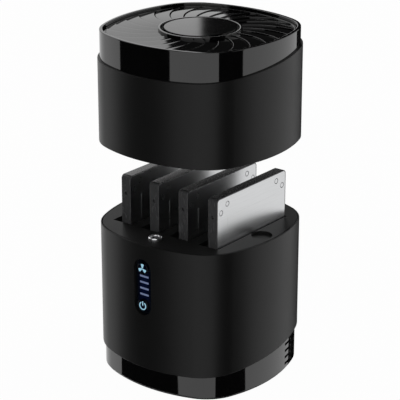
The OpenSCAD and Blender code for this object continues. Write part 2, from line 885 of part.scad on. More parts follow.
module hub_cap() {
  edge = 0.5;
  color(gloss_colour) translate([0, 0, lid_z]) rotate_extrude() polygon([
    [0, cap_seat - cap_peg_h], [cap_peg_d / 2, cap_seat - cap_peg_h], [cap_peg_d / 2, cap_seat],
    [cap_d / 2, cap_seat], [cap_d / 2, cap_top - edge], [cap_d / 2 - edge, cap_top], [0, cap_top]
  ]);
}

module fan_tray() {
  color(frame_colour) translate([0, 0, lid_z]) difference() {
    plan_plate(neck_inset, tray_z, fan_z);
    bar(fan_bore_d, tray_z - past, fan_z + past);
    at_corners(fan_hole_pitch / 2, fan_hole_pitch / 2)
      bar(fan_screw_d + 2 * fit_gap, tray_z - past, fan_z + past);
    translate([0, -contact_y, 0]) bar(post_peg_d + fit_gap, tray_z - past, fan_z + past);
  }
}

// Fan

module fan_frame() {
  cut = 4;
  h = fan_w / 2;
  plan = [[h, h - cut], [h - cut, h], [cut - h, h], [-h, h - cut], [-h, cut - h], [cut - h, -h],
          [h - cut, -h], [h, cut - h]];
  color(rubber_colour) translate([0, 0, lid_z]) {
    difference() {
      translate([0, 0, fan_z]) linear_extrude(fan_t) polygon(plan);
      bar(fan_bore_d, fan_z - past, fan_z + fan_t + past);
      at_corners(fan_hole_pitch / 2, fan_hole_pitch / 2)
        bar(fan_screw_d + 2 * thread_gap, fan_z - past, fan_z + fan_t + past);
    }
    difference() {
      union() {
        bar(motor_base_d, fan_z, fan_z + strut_t);
        bar(bearing_tube_d, fan_z, bearing_z + bearing_h);
        block(fan_bore_d + 2 * bite, strut_w, fan_z, fan_z + strut_t);
        block(strut_w, fan_bore_d + 2 * bite, fan_z, fan_z + strut_t);
      }
      bar(bearing_d + 2 * thread_gap, bearing_z, bearing_z + bearing_h + past);
    }
  }
}

module fan_bearing() {
  color(brass_colour) translate([0, 0, lid_z]) difference() {
    bar(bearing_d, bearing_z, bearing_z + bearing_h);
    bar(shaft_d + 2 * thread_gap, bearing_z - past, bearing_z + bearing_h + past);
  }
}

module fan_stator() {
  pole_gap = 2.4;
  color(brass_colour) translate([0, 0, lid_z]) difference() {
    bar(stator_d, bearing_z + 0.6, bearing_z + bearing_h - 0.4);
    bar(bearing_tube_d + 2 * thread_gap, bearing_z, bearing_z + bearing_h);
    for (a = [0:90:270]) rotate(a) translate([stator_d / 2, 0, 0])
      block(stator_d / 2, pole_gap, bearing_z, bearing_z + bearing_h);
  }
}

module fan_shaft() {
  color(steel_colour) translate([0, 0, lid_z])
    bar(shaft_d, bearing_z + 0.4, rotor_z + rotor_h - hub_top_t / 2);
}

module fan_rotor() {
  blade_t = 1.5;
  pitch = 52;
  chord = rotor_h / cos(pitch) * 1.2;
  reach = fan_bore_d / 2 - blade_tip_gap;
  color(frame_colour) translate([0, 0, lid_z]) {
    difference() {
      bar(fan_hub_d, rotor_z, rotor_z + rotor_h);
      bar(fan_hub_d - 2 * hub_wall, rotor_z - past, rotor_z + rotor_h - hub_top_t);
      bar(shaft_d + thread_gap, rotor_z, rotor_z + rotor_h - hub_top_t / 2);
    }
    intersection() {
      difference() {
        bar(2 * reach, rotor_z + 0.5, rotor_z + rotor_h);
        bar(fan_hub_d - hub_wall, rotor_z, rotor_z + rotor_h + past);
      }
      for (i = [0:blade_count - 1]) rotate(i * 360 / blade_count)
        translate([0, 0, rotor_z + rotor_h / 2]) rotate([pitch, 0, 0])
          translate([0, -blade_t / 2, -chord / 2]) cube([fan_bore_d, blade_t, chord]);
    }
  }
}

module fan_screws() {
  depth = 12;
  color(steel_colour) translate([0, 0, lid_z]) at_corners(fan_hole_pitch / 2, fan_hole_pitch / 2) {
    bar(fan_screw_head_d, tray_z - fan_screw_head_h, tray_z);
    bar(fan_screw_d, tray_z, fan_z + depth);
  }
}

// Two short wires from the fan to the contact post
module fan_lead() {
  x = 1.1;
  color(rubber_colour) translate([0, 0, lid_z]) difference() {
    for (s = [-1, 1]) translate([s * x, 0, fan_z + lead_d]) rod_y(lead_d, -contact_y, -fan_w / 2);
    translate([0, -contact_y, 0]) bar(post_peg_d + 2 * thread_gap, fan_z, fan_z + post_peg_h + past);
  }
}

module contact_post() {
  color(frame_colour) translate([0, -contact_y, lid_z]) difference() {
    union() {
      bar(post_d, post_z, tray_z);
      bar(post_peg_d, tray_z - past, fan_z + post_peg_h);
    }
    bar(tip_d + 2 * thread_gap, post_z - past, post_z + 7);
  }
}

module contact_tip() {
  r = tip_d / 2;
  color(brass_colour) translate([0, -contact_y, lid_z]) {
    translate([0, 0, r - tip_out]) sphere(r);
    bar(tip_d, r - tip_out, post_z + 6.8);
  }
}

// Drives

// Puts a drive's own frame in place: X through its thickness, Z from its socket end
module at_drive(i) {
  translate([drive_x(i), 0, drive_z]) children();
}

// Slab with the outline of a drive, from x0 to x1, shrunk by inset
module drive_slab(x0, x1, inset) {
  r = max(drive_corner_r - inset, 0.6);
  translate([x0, 0, drive_l / 2]) rotate([90, 0, 90]) linear_extrude(x1 - x0)
    round_rect(drive_w - 2 * inset, drive_l - 2 * inset, r);
}

// Places of the cover screws, as [y, z]
function drive_screw_places() = [for (p = drive_screw_top) each [[p[0], drive_l - p[1]], [p[0], p[1]]]];

module rod_x(d, x0, x1) {
  translate([x0, 0, 0]) rotate([0, 90, 0]) cylinder(d = d, h = x1 - x0);
}

module drive_case(i) {
  x0 = -drive_t / 2;
  x1 = drive_t / 2 - drive_cover_t;
  cavity_z = notch_h + drive_wall;
  color(case_colour) at_drive(i) difference() {
    union() {
      difference() {
        drive_slab(x0, x1, 0);
        intersection() {
          drive_slab(x0 + drive_floor_t, x1 + past, drive_wall);
          translate([-drive_t, -drive_w, cavity_z]) cube([2 * drive_t, 2 * drive_w, drive_l]);
        }
      }
      for (p = drive_screw_places()) translate([0, p[0], p[1]]) rod_x(drive_screw_d + 1.2, x0 + bite, x1);
    }
    block(2 * drive_t, notch_w, -past, notch_h);
    block(drive_board_t + 2 * thread_gap, tongue_w + 2 * fit_gap, 0, cavity_z + past);
    for (p = drive_screw_places()) translate([0, p[0], p[1]])
      rod_x(screw_pilot_d + 2 * thread_gap, x0 + drive_floor_t, x1 + past);
    for (s = [0, 1], z = [side_hole_at, drive_l - side_hole_at]) mirror([0, s, 0]) translate([0, 0, z])
      rod_y(side_hole_d, -drive_w / 2 - past, -drive_w / 2 + drive_wall - bite);
  }
}

module drive_cover(i) {
  x0 = drive_t / 2 - drive_cover_t;
  x1 = drive_t / 2;
  color(cover_colour) at_drive(i) difference() {
    drive_slab(x0, x1, 0);
    block(2 * drive_t, notch_w, -past, notch_h);
    for (p = drive_screw_places()) translate([0, p[0], p[1]]) rod_x(drive_screw_d + fit_gap, x0 - past, x1 + past);
    translate([x1 - label_depth, label_margin_y - drive_w / 2, label_margin_z])
      cube([drive_t, drive_w - 2 * label_margin_y, drive_l - 2 * label_margin_z]);
  }
}

module drive_board(i) {
  board_w = drive_w - 2 * drive_wall - 2 * drive_screw_d - 6;
  board_z = notch_h + drive_wall + 4;
  color(board_colour) at_drive(i) {
    block(drive_board_t, board_w, board_z, drive_l * 0.62);
    block(drive_board_t, tongue_w, tongue_tip, board_z + bite);
  }
}

module drive_screws(i) {
  head_t = drive_cover_t - 0.1;
  x1 = drive_t / 2 - 0.1;
  color(steel_colour) at_drive(i) for (p = drive_screw_places()) translate([0, p[0], p[1]]) {
    rod_x(drive_screw_d, x1 - head_t, x1);
    rod_x(screw_pilot_d, -drive_t / 2 + drive_floor_t + 1, x1);
  }
}

base_shell();
deck();
base_band();
bottom_cover();
rubber_feet();
bottom_screws();
chassis();
for (i = [1:4]) bay_guide(i);
backplane_board();
for (i = [1:4]) sata_socket(i);
bridge_board();
controller_chip();
usb_port();
dc_inlet();
board_screws();
front_panel();
front_board();
key_switches();
light_bars();
fan_key();
power_key();
contact_ring();
contact_cup();
lid_shell();
lid_band();
lid_grille();
hub_cap();
fan_tray();
fan_frame();
fan_bearing();
fan_stator();
fan_shaft();
fan_rotor();
fan_screws();
fan_lead();
contact_post();
contact_tip();
for (i = [1:4]) drive_case(i);
for (i = [1:4]) drive_cover(i);
for (i = [1:4]) drive_board(i);
for (i = [1:4]) drive_screws(i);
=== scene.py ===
"""Looks of a docking tower for four small drives, with its fan lid lifted off the base."""

import logging
import math
from dataclasses import dataclass, field
from enum import Enum
from typing import Any, Iterable, Sequence

import bmesh
import bpy
from mathutils import Matrix, Vector


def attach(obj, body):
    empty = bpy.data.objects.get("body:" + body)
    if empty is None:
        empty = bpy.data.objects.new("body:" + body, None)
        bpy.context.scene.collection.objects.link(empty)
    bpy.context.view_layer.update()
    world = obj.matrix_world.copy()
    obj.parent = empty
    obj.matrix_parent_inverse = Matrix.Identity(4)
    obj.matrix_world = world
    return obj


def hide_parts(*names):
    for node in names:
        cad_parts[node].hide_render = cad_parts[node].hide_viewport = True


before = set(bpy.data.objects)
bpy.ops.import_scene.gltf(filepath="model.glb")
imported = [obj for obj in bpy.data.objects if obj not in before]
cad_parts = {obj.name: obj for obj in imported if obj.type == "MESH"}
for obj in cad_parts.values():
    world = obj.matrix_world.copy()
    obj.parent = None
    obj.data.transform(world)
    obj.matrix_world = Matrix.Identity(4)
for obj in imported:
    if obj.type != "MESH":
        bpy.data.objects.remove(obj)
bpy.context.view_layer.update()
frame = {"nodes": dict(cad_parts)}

LOG = logging.getLogger("docking_tower")
MM = 0.001
SHARP = math.radians(32)
BEVELLED = math.radians(50)
# Inset of a rounded edge's middle point, as a share of the edge's size.
SOFT = 0.3

Colour = tuple[float, ...]
Point2 = tuple[float, float]
Point3 = tuple[float, float, float]


class Body(Enum):
    """The bodies that pieces ride on."""

    BASE = "base"
    LID = "lid"
    FAN_BUTTON = "fan_button"
    POWER_BUTTON = "power_button"
    DRIVE_1 = "drive_1"
    DRIVE_2 = "drive_2"
    DRIVE_3 = "drive_3"
    DRIVE_4 = "drive_4"


class Slot(Enum):
    """The record's material slots."""

    SHELL = "shell"
    GLOSS = "gloss"
    STEEL = "steel"
    LIGHT = "light"
    CASE = "case"
    COVER = "cover"


class Wire:
    """A node socket that takes part in Python arithmetic by adding Math nodes."""

    def __init__(self, sheet: "NodeSheet", socket: bpy.types.NodeSocket) -> None:
        """Keeps the socket and the sheet that it belongs to."""
        self.sheet = sheet
        self.socket = socket

    def math(self, operation: str, first: Any, second: Any = 0.0) -> "Wire":
        """Adds one Math node.

        Args:
            operation: Blender's name of the operation.
            first: value or wire of the first input.
            second: value or wire of the second input.

        Returns:
            The node's result.
        """
        return self.sheet.add("ShaderNodeMath", {"operation": operation}, {0: first, 1: second})

    def __add__(self, other: Any) -> "Wire":
        """self + other."""
        return self.math("ADD", self, other)

    __radd__ = __add__

    def __mul__(self, other: Any) -> "Wire":
        """self * other."""
        return self.math("MULTIPLY", self, other)

    __rmul__ = __mul__

    def __sub__(self, other: Any) -> "Wire":
        """self - other."""
        return self.math("SUBTRACT", self, other)

    def __rsub__(self, other: Any) -> "Wire":
        """other - self."""
        return self.math("SUBTRACT", other, self)

    def __truediv__(self, other: Any) -> "Wire":
        """self / other."""
        return self.math("DIVIDE", self, other)

    def __rtruediv__(self, other: Any) -> "Wire":
        """other / self."""
        return self.math("DIVIDE", other, self)

    def __pow__(self, other: Any) -> "Wire":
        """self to the power of other."""
        return self.math("POWER", self, other)

    def __gt__(self, other: Any) -> "Wire":
        """1 where self is above other, and 0 elsewhere."""
        return self.math("GREATER_THAN", self, other)

    def __abs__(self) -> "Wire":
        """Size of self without its sign."""
        return self.math("ABSOLUTE", self)

    def larger(self, other: Any) -> "Wire":
        """The larger of self and other."""
        return self.math("MAXIMUM", self, other)

    def smaller(self, other: Any) -> "Wire":
        """The smaller of self and other."""
        return self.math("MINIMUM", self, other)

    def root(self) -> "Wire":
        """Square root of self."""
        return self.math("SQRT", self)

    def cosine(self) -> "Wire":
        """Cosine of self."""
        return self.math("COSINE", self)

    def sine(self) -> "Wire":
        """Sine of self."""
        return self.math("SINE", self)

    def other(self, output: int) -> "Wire":
        """Another output of the node that self comes from."""
        return Wire(self.sheet, self.socket.node.outputs[output])

    def ramp(self, low: float, high: float) -> "Wire":
        """Smooth step from 0 at low to 1 at high."""
        return self.sheet.add("ShaderNodeMapRange", {"interpolation_type": "SMOOTHSTEP"},
                              {"Value": self, "From Min": low, "From Max": high})


class NodeSheet:
    """A node tree with one method that adds any node."""

    def __init__(self, tree: bpy.types.NodeTree) -> None:
        """Keeps the tree."""
        self.tree = tree

    def add(self, kind: str, settings: dict[str, Any] | None = None,
            inputs: dict[Any, Any] | None = None, output: Any = 0) -> Wire:
        """Adds one node.

        Args:
            kind: Blender's type name of the node.
            settings: the node's own properties, set first.
            inputs: values or wires by socket name or index.
            output: name or index of the socket that is returned.

        Returns:
            The node's output as a wire.
        """
        node = self.tree.nodes.new(kind)
        for key, value in (settings or {}).items():
            setattr(node, key, value)
        for key, value in (inputs or {}).items():
            if isinstance(value, Wire):
                self.tree.links.new(value.socket, node.inputs[key])
            else:
                node.inputs[key].default_value = value
        return Wire(self, node.outputs[output])


def linear(*srgb: int) -> Colour:
    """Linear colour with full alpha from sRGB values out of 255.

    Args:
        *srgb: red, green and blue, from 0 to 255.

    Returns:
        The colour as a material takes it.
    """
    def one(value: int) -> float:
        """One value, linear."""
        share = value / 255
        return share / 12.92 if share <= 0.04045 else ((share + 0.055) / 1.055) ** 2.4
    return tuple(one(value) for value in srgb) + (1.0,)


@dataclass(frozen=True)
class Finish:
    """A surface finish that makes its own material."""

    name: str

    def material(self) -> bpy.types.Material:
        """Makes the material once and returns it.

        Returns:
            The material.
        """
        found = bpy.data.materials.get(self.name)
        if found:
            return found
        made = bpy.data.materials.new(self.name)
        made.use_nodes = True
        sheet = NodeSheet(made.node_tree)
        shader = made.node_tree.nodes["Principled BSDF"]
        self.dress(sheet, shader)
        return made

    def dress(self, sheet: NodeSheet, shader: bpy.types.Node) -> None:
        """Sets the shader's sockets. Each finish has its own."""
        raise NotImplementedError

    @staticmethod
    def feed(sheet: NodeSheet, shader: bpy.types.Node, **sockets: Any) -> None:
        """Sets or links sockets of the shader, with _ for a space in their names.

        Args:
            sheet: where the links go.
            shader: the material's main shader.
            **sockets: a value or wire for each socket.
        """
        for key, value in sockets.items():
            socket = shader.inputs[key.replace("_", " ")]
            if isinstance(value, Wire):
                sheet.tree.links.new(value.socket, socket)
            else:
                socket.default_value = value

    @staticmethod
    def noise(sheet: NodeSheet, scale: float, stretch: Sequence[float] = (1, 1, 1),
              detail: float = 3) -> Wire:
        """Noise on the piece's own coordinates.

        Args:
            sheet: where the nodes go.
            scale: grains per metre, roughly.
            stretch: scale along each axis.
            detail: octaves of the noise.

        Returns:
            The noise, from 0 to 1.
        """
        place = sheet.add("ShaderNodeTexCoord", output="Object")
        turned = sheet.add("ShaderNodeMapping", None, {"Vector": place, "Scale": stretch})
        return sheet.add("ShaderNodeTexNoise", None,
                         {"Vector": turned, "Scale": scale, "Detail": detail})

    @staticmethod
    def tint(sheet: NodeSheet, share: Wire, first: Sequence[float], second: Sequence[float]) -> Wire:
        """Colour between first and second by share."""
        return sheet.add("ShaderNodeMix", {"data_type": "RGBA"},
                         {0: share, 6: tuple(first), 7: tuple(second)}, 2)

    @staticmethod
    def bump(sheet: NodeSheet, height: Wire, strength: float, distance: float) -> Wire:
        """Normal bent by a height."""
        return sheet.add("ShaderNodeBump", None,
                         {"Height": height, "Strength": strength, "Distance": distance})


@dataclass(frozen=True)
class MattePlastic(Finish):
    """Moulded plastic with a fine spark-eroded grain."""

    dark: Colour
    light: Colour
    roughness: float = 0.4
    specular: float = 0.5
    grain: float = 2600
    depth: float = 0.12
    cloud: float = 45
    fine_share: float = 0.6
    spread: float = 0.06
    relief: float = 0.00004

    def dress(self, sheet: NodeSheet, shader: bpy.types.Node) -> None:
        """Fine grain in colour, roughness and height.

        Args:
            sheet: where the nodes go.
            shader: the material's main shader.
        """
        fine = self.noise(sheet, self.grain)
        broad = self.noise(sheet, self.cloud)
        mixed = fine * self.fine_share + broad * (1 - self.fine_share)
        self.feed(sheet, shader, Base_Color=self.tint(sheet, mixed, self.dark, self.light),
                  Roughness=broad * self.spread + (self.roughness - self.spread / 2),
                  Specular_IOR_Level=self.specular,
                  Normal=self.bump(sheet, fine, self.depth, self.relief))


@dataclass(frozen=True)
class GlossPlastic(Finish):
    """Polished plastic with a faint haze."""

    dark: Colour
    light: Colour
    roughness: float = 0.03
    specular: float = 0.5
    cloud: float = 60
    spread: float = 0.03

    def dress(self, sheet: NodeSheet, shader: bpy.types.Node) -> None:
        """Haze in roughness and a trace of flow in colour.

        Args:
            sheet: where the nodes go.
            shader: the material's main shader.
        """
        haze = self.noise(sheet, self.cloud)
        self.feed(sheet, shader, Base_Color=self.tint(sheet, haze, self.dark, self.light),
                  Roughness=haze * self.spread + self.roughness, Specular_IOR_Level=self.specular)


@dataclass(frozen=True)
class BrushedMetal(Finish):
    """Metal with fine lines along one axis."""

    dark: Colour
    light: Colour
    roughness: float
    stretch: Point3
    metallic: float = 1.0
    depth: float = 0.06
    specular: float = 0.5
    grain: float = 900
    octaves: float = 4
    spread: float = 0.12
    relief: float = 0.00003

    def dress(self, sheet: NodeSheet, shader: bpy.types.Node) -> None:
        """Lines in colour, roughness and height.

        Args:
            sheet: where the nodes go.
            shader: the material's main shader.
        """
        lines = self.noise(sheet, self.grain, self.stretch, self.octaves)
        self.feed(sheet, shader, Base_Color=self.tint(sheet, lines, self.dark, self.light),
                  Metallic=self.metallic, Specular_IOR_Level=self.specular,
                  Roughness=lines * self.spread + (self.roughness - self.spread / 2),
                  Normal=self.bump(sheet, lines, self.depth, self.relief))


@dataclass(frozen=True)
class SolderMask(Finish):
    """Circuit board with faint tracks under green lacquer."""

    lacquer: Colour = linear(10, 62, 36)
    track: Colour = linear(32, 104, 62)
    pitch: float = 260
    track_width: float = 0.06
    roughness: float = 0.35
    depth: float = 0.3
    relief: float = 0.00003

    def dress(self, sheet: NodeSheet, shader: bpy.types.Node) -> None:
        """Tracks from a brick pattern, in colour and height.

        Args:
            sheet: where the nodes go.
            shader: the material's main shader.
        """
        place = sheet.add("ShaderNodeTexCoord", output="Object")
        black, white = (0, 0, 0, 1), (1, 1, 1, 1)
        tracks = sheet.add("ShaderNodeTexBrick", None,
                           {"Vector": place, "Scale": self.pitch, "Mortar Size": self.track_width,
                            "Color1": black, "Color2": black, "Mortar": white}, "Fac")
        self.feed(sheet, shader, Roughness=self.roughness,
                  Normal=self.bump(sheet, tracks, self.depth, self.relief),
                  Base_Color=self.tint(sheet, tracks, self.lacquer, self.track))


@dataclass(frozen=True)
class Glow(Finish):
    """Lit plastic, a little uneven as a light guide is."""

    dim: Colour
    bright: Colour
    strength: float = 1.0
    lens: Colour = linear(12, 20, 30)
    roughness: float = 0.3
    cloud: float = 300

    def dress(self, sheet: NodeSheet, shader: bpy.types.Node) -> None:
        """Uneven emission over a dark lens.

        Args:
            sheet: where the nodes go.
            shader: the material's main shader.
        """
        cloud = self.noise(sheet, self.cloud)
        self.feed(sheet, shader, Base_Color=self.lens, Roughness=self.roughness,
                  Emission_Strength=self.strength,
                  Emission_Color=self.tint(sheet, cloud, self.dim, self.bright))


@dataclass(frozen=True)
class LitWindow(Finish):
    """Dark gloss window that glows blue round the lit signs."""

    centre: Point2
    half: Point2
    glow: float = 1.0
    lens: Colour = linear(3, 5, 8)
    rim_light: Colour = linear(0, 1, 3)
    core_light: Colour = linear(0, 5, 30)
    fade: Point2 = (0.1, 0.95)
    roughness: float = 0.08
    cloud: float = 80
    spread: float = 0.04

    def dress(self, sheet: NodeSheet, shader: bpy.types.Node) -> None:
        """Glow that fades from the window's middle line to its edge.

        Args:
            sheet: where the nodes go.
            shader: the material's main shader.
        """
        place = sheet.add("ShaderNodeTexCoord", output="Object")
        axes = sheet.add("ShaderNodeSeparateXYZ", None, {0: place})
        across = abs(axes - self.centre[0] * MM) / (self.half[0] * MM)
        along = abs(axes.other(2) - self.centre[1] * MM) / (self.half[1] * MM)
        core = 1 - across.larger(along).ramp(*self.fade)
        self.feed(sheet, shader, Base_Color=self.lens, Emission_Strength=self.glow,
                  Roughness=self.noise(sheet, self.cloud) * self.spread + self.roughness,
                  Emission_Color=self.tint(sheet, core, self.rim_light, self.core_light))


class Finishes:
    """Every finish of the part, each under a plain name."""

    SHELL = MattePlastic("charcoal_shell", linear(16, 16, 16), linear(22, 22, 22),
                         roughness=0.36, specular=0.24)
    DECK = MattePlastic("charcoal_deck", linear(20, 20, 20), linear(27, 27, 27),
                        roughness=0.46, specular=0.26)
    GLOSS = GlossPlastic("polished_black", linear(2, 2, 2), linear(6, 6, 7), specular=0.75)
    HUB = GlossPlastic("polished_hub", linear(3, 3, 4), linear(7, 7, 8), roughness=0.05)
    MOULDING = MattePlastic("inner_moulding", linear(24, 24, 25), linear(34, 34, 35), roughness=0.55)
    RUBBER = MattePlastic("soft_rubber", linear(14, 14, 14), linear(24, 24, 24),
                          roughness=0.8, specular=0.4, grain=900, depth=0.3)
    BOARD = SolderMask("solder_mask")
    STEEL = BrushedMetal("bright_steel", linear(196, 198, 202), linear(232, 233, 236),
                         roughness=0.18, stretch=(1, 1, 6))
    CONTACT = BrushedMetal("bright_contact", linear(238, 239, 241), linear(250, 250, 252),
                           roughness=0.3, stretch=(1, 1, 6))
    CASE = BrushedMetal("dark_cast_case", linear(68, 68, 69), linear(76, 76, 77),
                        roughness=0.26, stretch=(1, 1, 0.2), metallic=0.1, depth=0.12, specular=0.9)
    COVER = BrushedMetal("silver_cover", linear(204, 205, 206), linear(222, 223, 224),
                         roughness=0.3, stretch=(1, 0.06, 1.6))
    WINDING = BrushedMetal("copper_winding", linear(150, 92, 52), linear(196, 128, 78),
                           roughness=0.35, stretch=(1, 1, 9))
    LIGHT = Glow("blue_light_guide", linear(84, 94, 124), linear(116, 126, 156))
    SIGN = Glow("blue_lit_sign", linear(128, 182, 208), linear(168, 206, 222))


def link(name: str, mesh: bpy.types.Mesh) -> bpy.types.Object:
    """Puts a mesh in the scene as an object at the origin.

    Args:
        name: the object's name.
        mesh: its mesh.

    Returns:
        The linked object.
    """
    made = bpy.data.objects.new(name, mesh)
    bpy.context.scene.collection.objects.link(made)
    return made


def mesh_from(name: str, verts: Sequence[Sequence[float]],
              faces: Sequence[Sequence[int]]) -> bpy.types.Object:
    """Object from points in millimetres and faces that point outwards.

    Args:
        name: the object's name.
        verts: points in millimetres.
        faces: point numbers of each face.

    Returns:
        The linked object.
    """
    mesh = bpy.data.meshes.new(name)
    mesh.from_pydata([[value * MM for value in vert] for vert in verts], [], faces)
    return link(name, mesh)


def skin(name: str, loops: Sequence[Sequence[Point3]], ring: bool = False) -> bpy.types.Object:
    """Skin through loops of points, each loop anticlockwise seen from the next one.

    Args:
        name: the object's name.
        loops: loops with the same number of points, in millimetres.
        ring: True joins the last loop to the first, and False caps both.

    Returns:
        The linked object.
    """
    rows, count = len(loops), len(loops[0])
    verts = [point for loop in loops for point in loop]
    faces: list[Sequence[int]] = []
    if not ring:
        faces += [list(range(count))[::-1], list(range((rows - 1) * count, rows * count))]
    for row in range(rows if ring else rows - 1):
        here, above = row * count, (row + 1) % rows * count
        for step in range(count):
            after = (step + 1) % count
            faces.append((here + step, here + after, above + after, above + step))
    return mesh_from(name, verts, faces)


def outward(piece: bpy.types.Object) -> bpy.types.Object:
    """Turns all faces of a closed piece outwards.

    Args:
        piece: the closed piece.

    Returns:
        The piece.
    """
    work = bmesh.new()
    work.from_mesh(piece.data)
    bmesh.ops.recalc_face_normals(work, faces=work.faces)
    work.to_mesh(piece.data)
    work.free()
    return piece


def settle(piece: bpy.types.Object) -> bpy.types.Object:
    """Applies the piece's modifiers to its mesh.

    Args:
        piece: the piece with its modifiers.

    Returns:
        The piece with a plain mesh.
    """
    depsgraph = bpy.context.evaluated_depsgraph_get()
    mesh = bpy.data.meshes.new_from_object(piece.evaluated_get(depsgraph))
    piece.modifiers.clear()
    old = piece.data
    piece.data = mesh
    bpy.data.meshes.remove(old)
    mesh.name = piece.name
    return piece


def smooth(piece: bpy.types.Object) -> bpy.types.Object:
    """Smooth shading with sharp edges kept and large faces left flat.

    Args:
        piece: the finished piece.

    Returns:
        The piece.
    """
    piece.data.shade_smooth()
    piece.data.set_sharp_from_angle(angle=SHARP)
    modifier = piece.modifiers.new("flat_faces", "WEIGHTED_NORMAL")
    modifier.weight = 100
    modifier.keep_sharp = True
    return settle(piece)


def carve(piece: bpy.types.Object, cutters: Iterable[bpy.types.Object],
          operation: str = "DIFFERENCE") -> bpy.types.Object:
    """Cuts a piece with others, which are then removed.

    Args:
        piece: the piece that is cut.
        cutters: closed pieces.
        operation: DIFFERENCE, INTERSECT or UNION.

    Returns:
        The piece.
    """
    for cutter in cutters:
        modifier = piece.modifiers.new("carve", "BOOLEAN")
        modifier.operation = operation
        modifier.solver = "EXACT"
        modifier.object = cutter
        settle(piece)
        mesh = cutter.data
        bpy.data.objects.remove(cutter)
        bpy.data.meshes.remove(mesh)
    return piece


def soften(piece: bpy.types.Object, width: float, segments: int = 2) -> bpy.types.Object:
    """Rounds a piece's sharp edges by a width in millimetres.

    Args:
        piece: the piece.
        width: size of the rounding, in millimetres.
        segments: facets across each edge.

    Returns:
        The piece.
    """
    modifier = piece.modifiers.new("soften", "BEVEL")
    modifier.width = width * MM
    modifier.segments = segments
    modifier.limit_method = "ANGLE"
    modifier.angle_limit = BEVELLED
    return settle(piece)


def merge(name: str, pieces: Sequence[bpy.types.Object]) -> bpy.types.Object:
    """Joins pieces into one object, each still a closed shell of its own.

    Args:
        name: the joined object's name.
        pieces: the pieces, which are then removed.

    Returns:
        The joined object.
    """
    work = bmesh.new()
    for piece in pieces:
        work.from_mesh(piece.data)
    mesh = bpy.data.meshes.new(name)
    work.to_mesh(mesh)
    work.free()
    for piece in pieces:
        old = piece.data
        bpy.data.objects.remove(piece)
        bpy.data.meshes.remove(old)
    return link(name, mesh)


def block(name: str, low: Sequence[float], high: Sequence[float]) -> bpy.types.Object:
    """Box between two corners, in millimetres.

    Args:
        name: the object's name.
        low: corner with the least of each coordinate.
        high: the opposite corner.

    Returns:
        The linked object.
    """
    verts = [(x, y, z) for x in (low[0], high[0]) for y in (low[1], high[1]) for z in (low[2], high[2])]
    faces = [(0, 1, 3, 2), (4, 6, 7, 5), (0, 4, 5, 1), (2, 3, 7, 6), (0, 2, 6, 4), (1, 5, 7, 3)]
    return mesh_from(name, verts, faces)


def lathe(name: str, profile: Sequence[Point2], centre: Sequence[float], axis: str = "Z",
          steps: int = 96) -> bpy.types.Object:
    """Turned piece.

    Args:
        name: the object's name.
        profile: radius and height of each point, in millimetres, from the axis below to the axis
            above, or a closed ring that runs anticlockwise in the plane of radius and height.
        centre: a point on the axis, in millimetres.
        axis: Z for an upright axis, Y for one that points to the front.
        steps: facets round the axis.

    Returns:
        The linked object.
    """
    ring = all(radius > 0 for radius, _ in profile)
    work = bmesh.new()
    rows: list[list[bmesh.types.BMVert]] = []
    for radius, height in profile:
        if radius == 0:
            rows.append([work.verts.new((0, 0, height * MM))])
            continue
        turns = [2 * math.pi * step / steps for step in range(steps)]
        rows.append([work.verts.new(Vector((radius * math.cos(t), radius * math.sin(t), height)) * MM)
                     for t in turns])
    pairs = list(zip(rows, rows[1:])) + ([(rows[-1], rows[0])] if ring else [])
    for lower, upper in pairs:
        for step in range(steps):
            after = (step + 1) % steps
            if len(lower) == 1:
                work.faces.new((lower[0], upper[after], upper[step]))
            elif len(upper) == 1:
                work.faces.new((lower[step], lower[after], upper[0]))
            else:
                work.faces.new((lower[step], lower[after], upper[after], upper[step]))
    turn = Matrix.Rotation(math.radians(90), 4, "X") if axis == "Y" else Matrix.Identity(4)
    work.transform(Matrix.Translation(Vector(centre) * MM) @ turn)
    bmesh.ops.recalc_face_normals(work, faces=work.faces)
    mesh = bpy.data.meshes.new(name)
    work.to_mesh(mesh)
    work.free()
    return link(name, mesh)


def bar(name: str, radius: float, low: float, high: float, centre: Sequence[float],
        axis: str = "Z", steps: int = 96) -> bpy.types.Object:
    """Plain round bar between two heights along its axis."""
    profile = [(0, low), (radius, low), (radius, high), (0, high)]
    return lathe(name, profile, centre, axis, steps)


@dataclass(frozen=True)
class Corner:
    """A corner of a wall's section: inset from the outside, height, rise along Y, and rounding."""

    inset: float
    z: float
    slope: float = 0.0
    rounding: float = 0.0


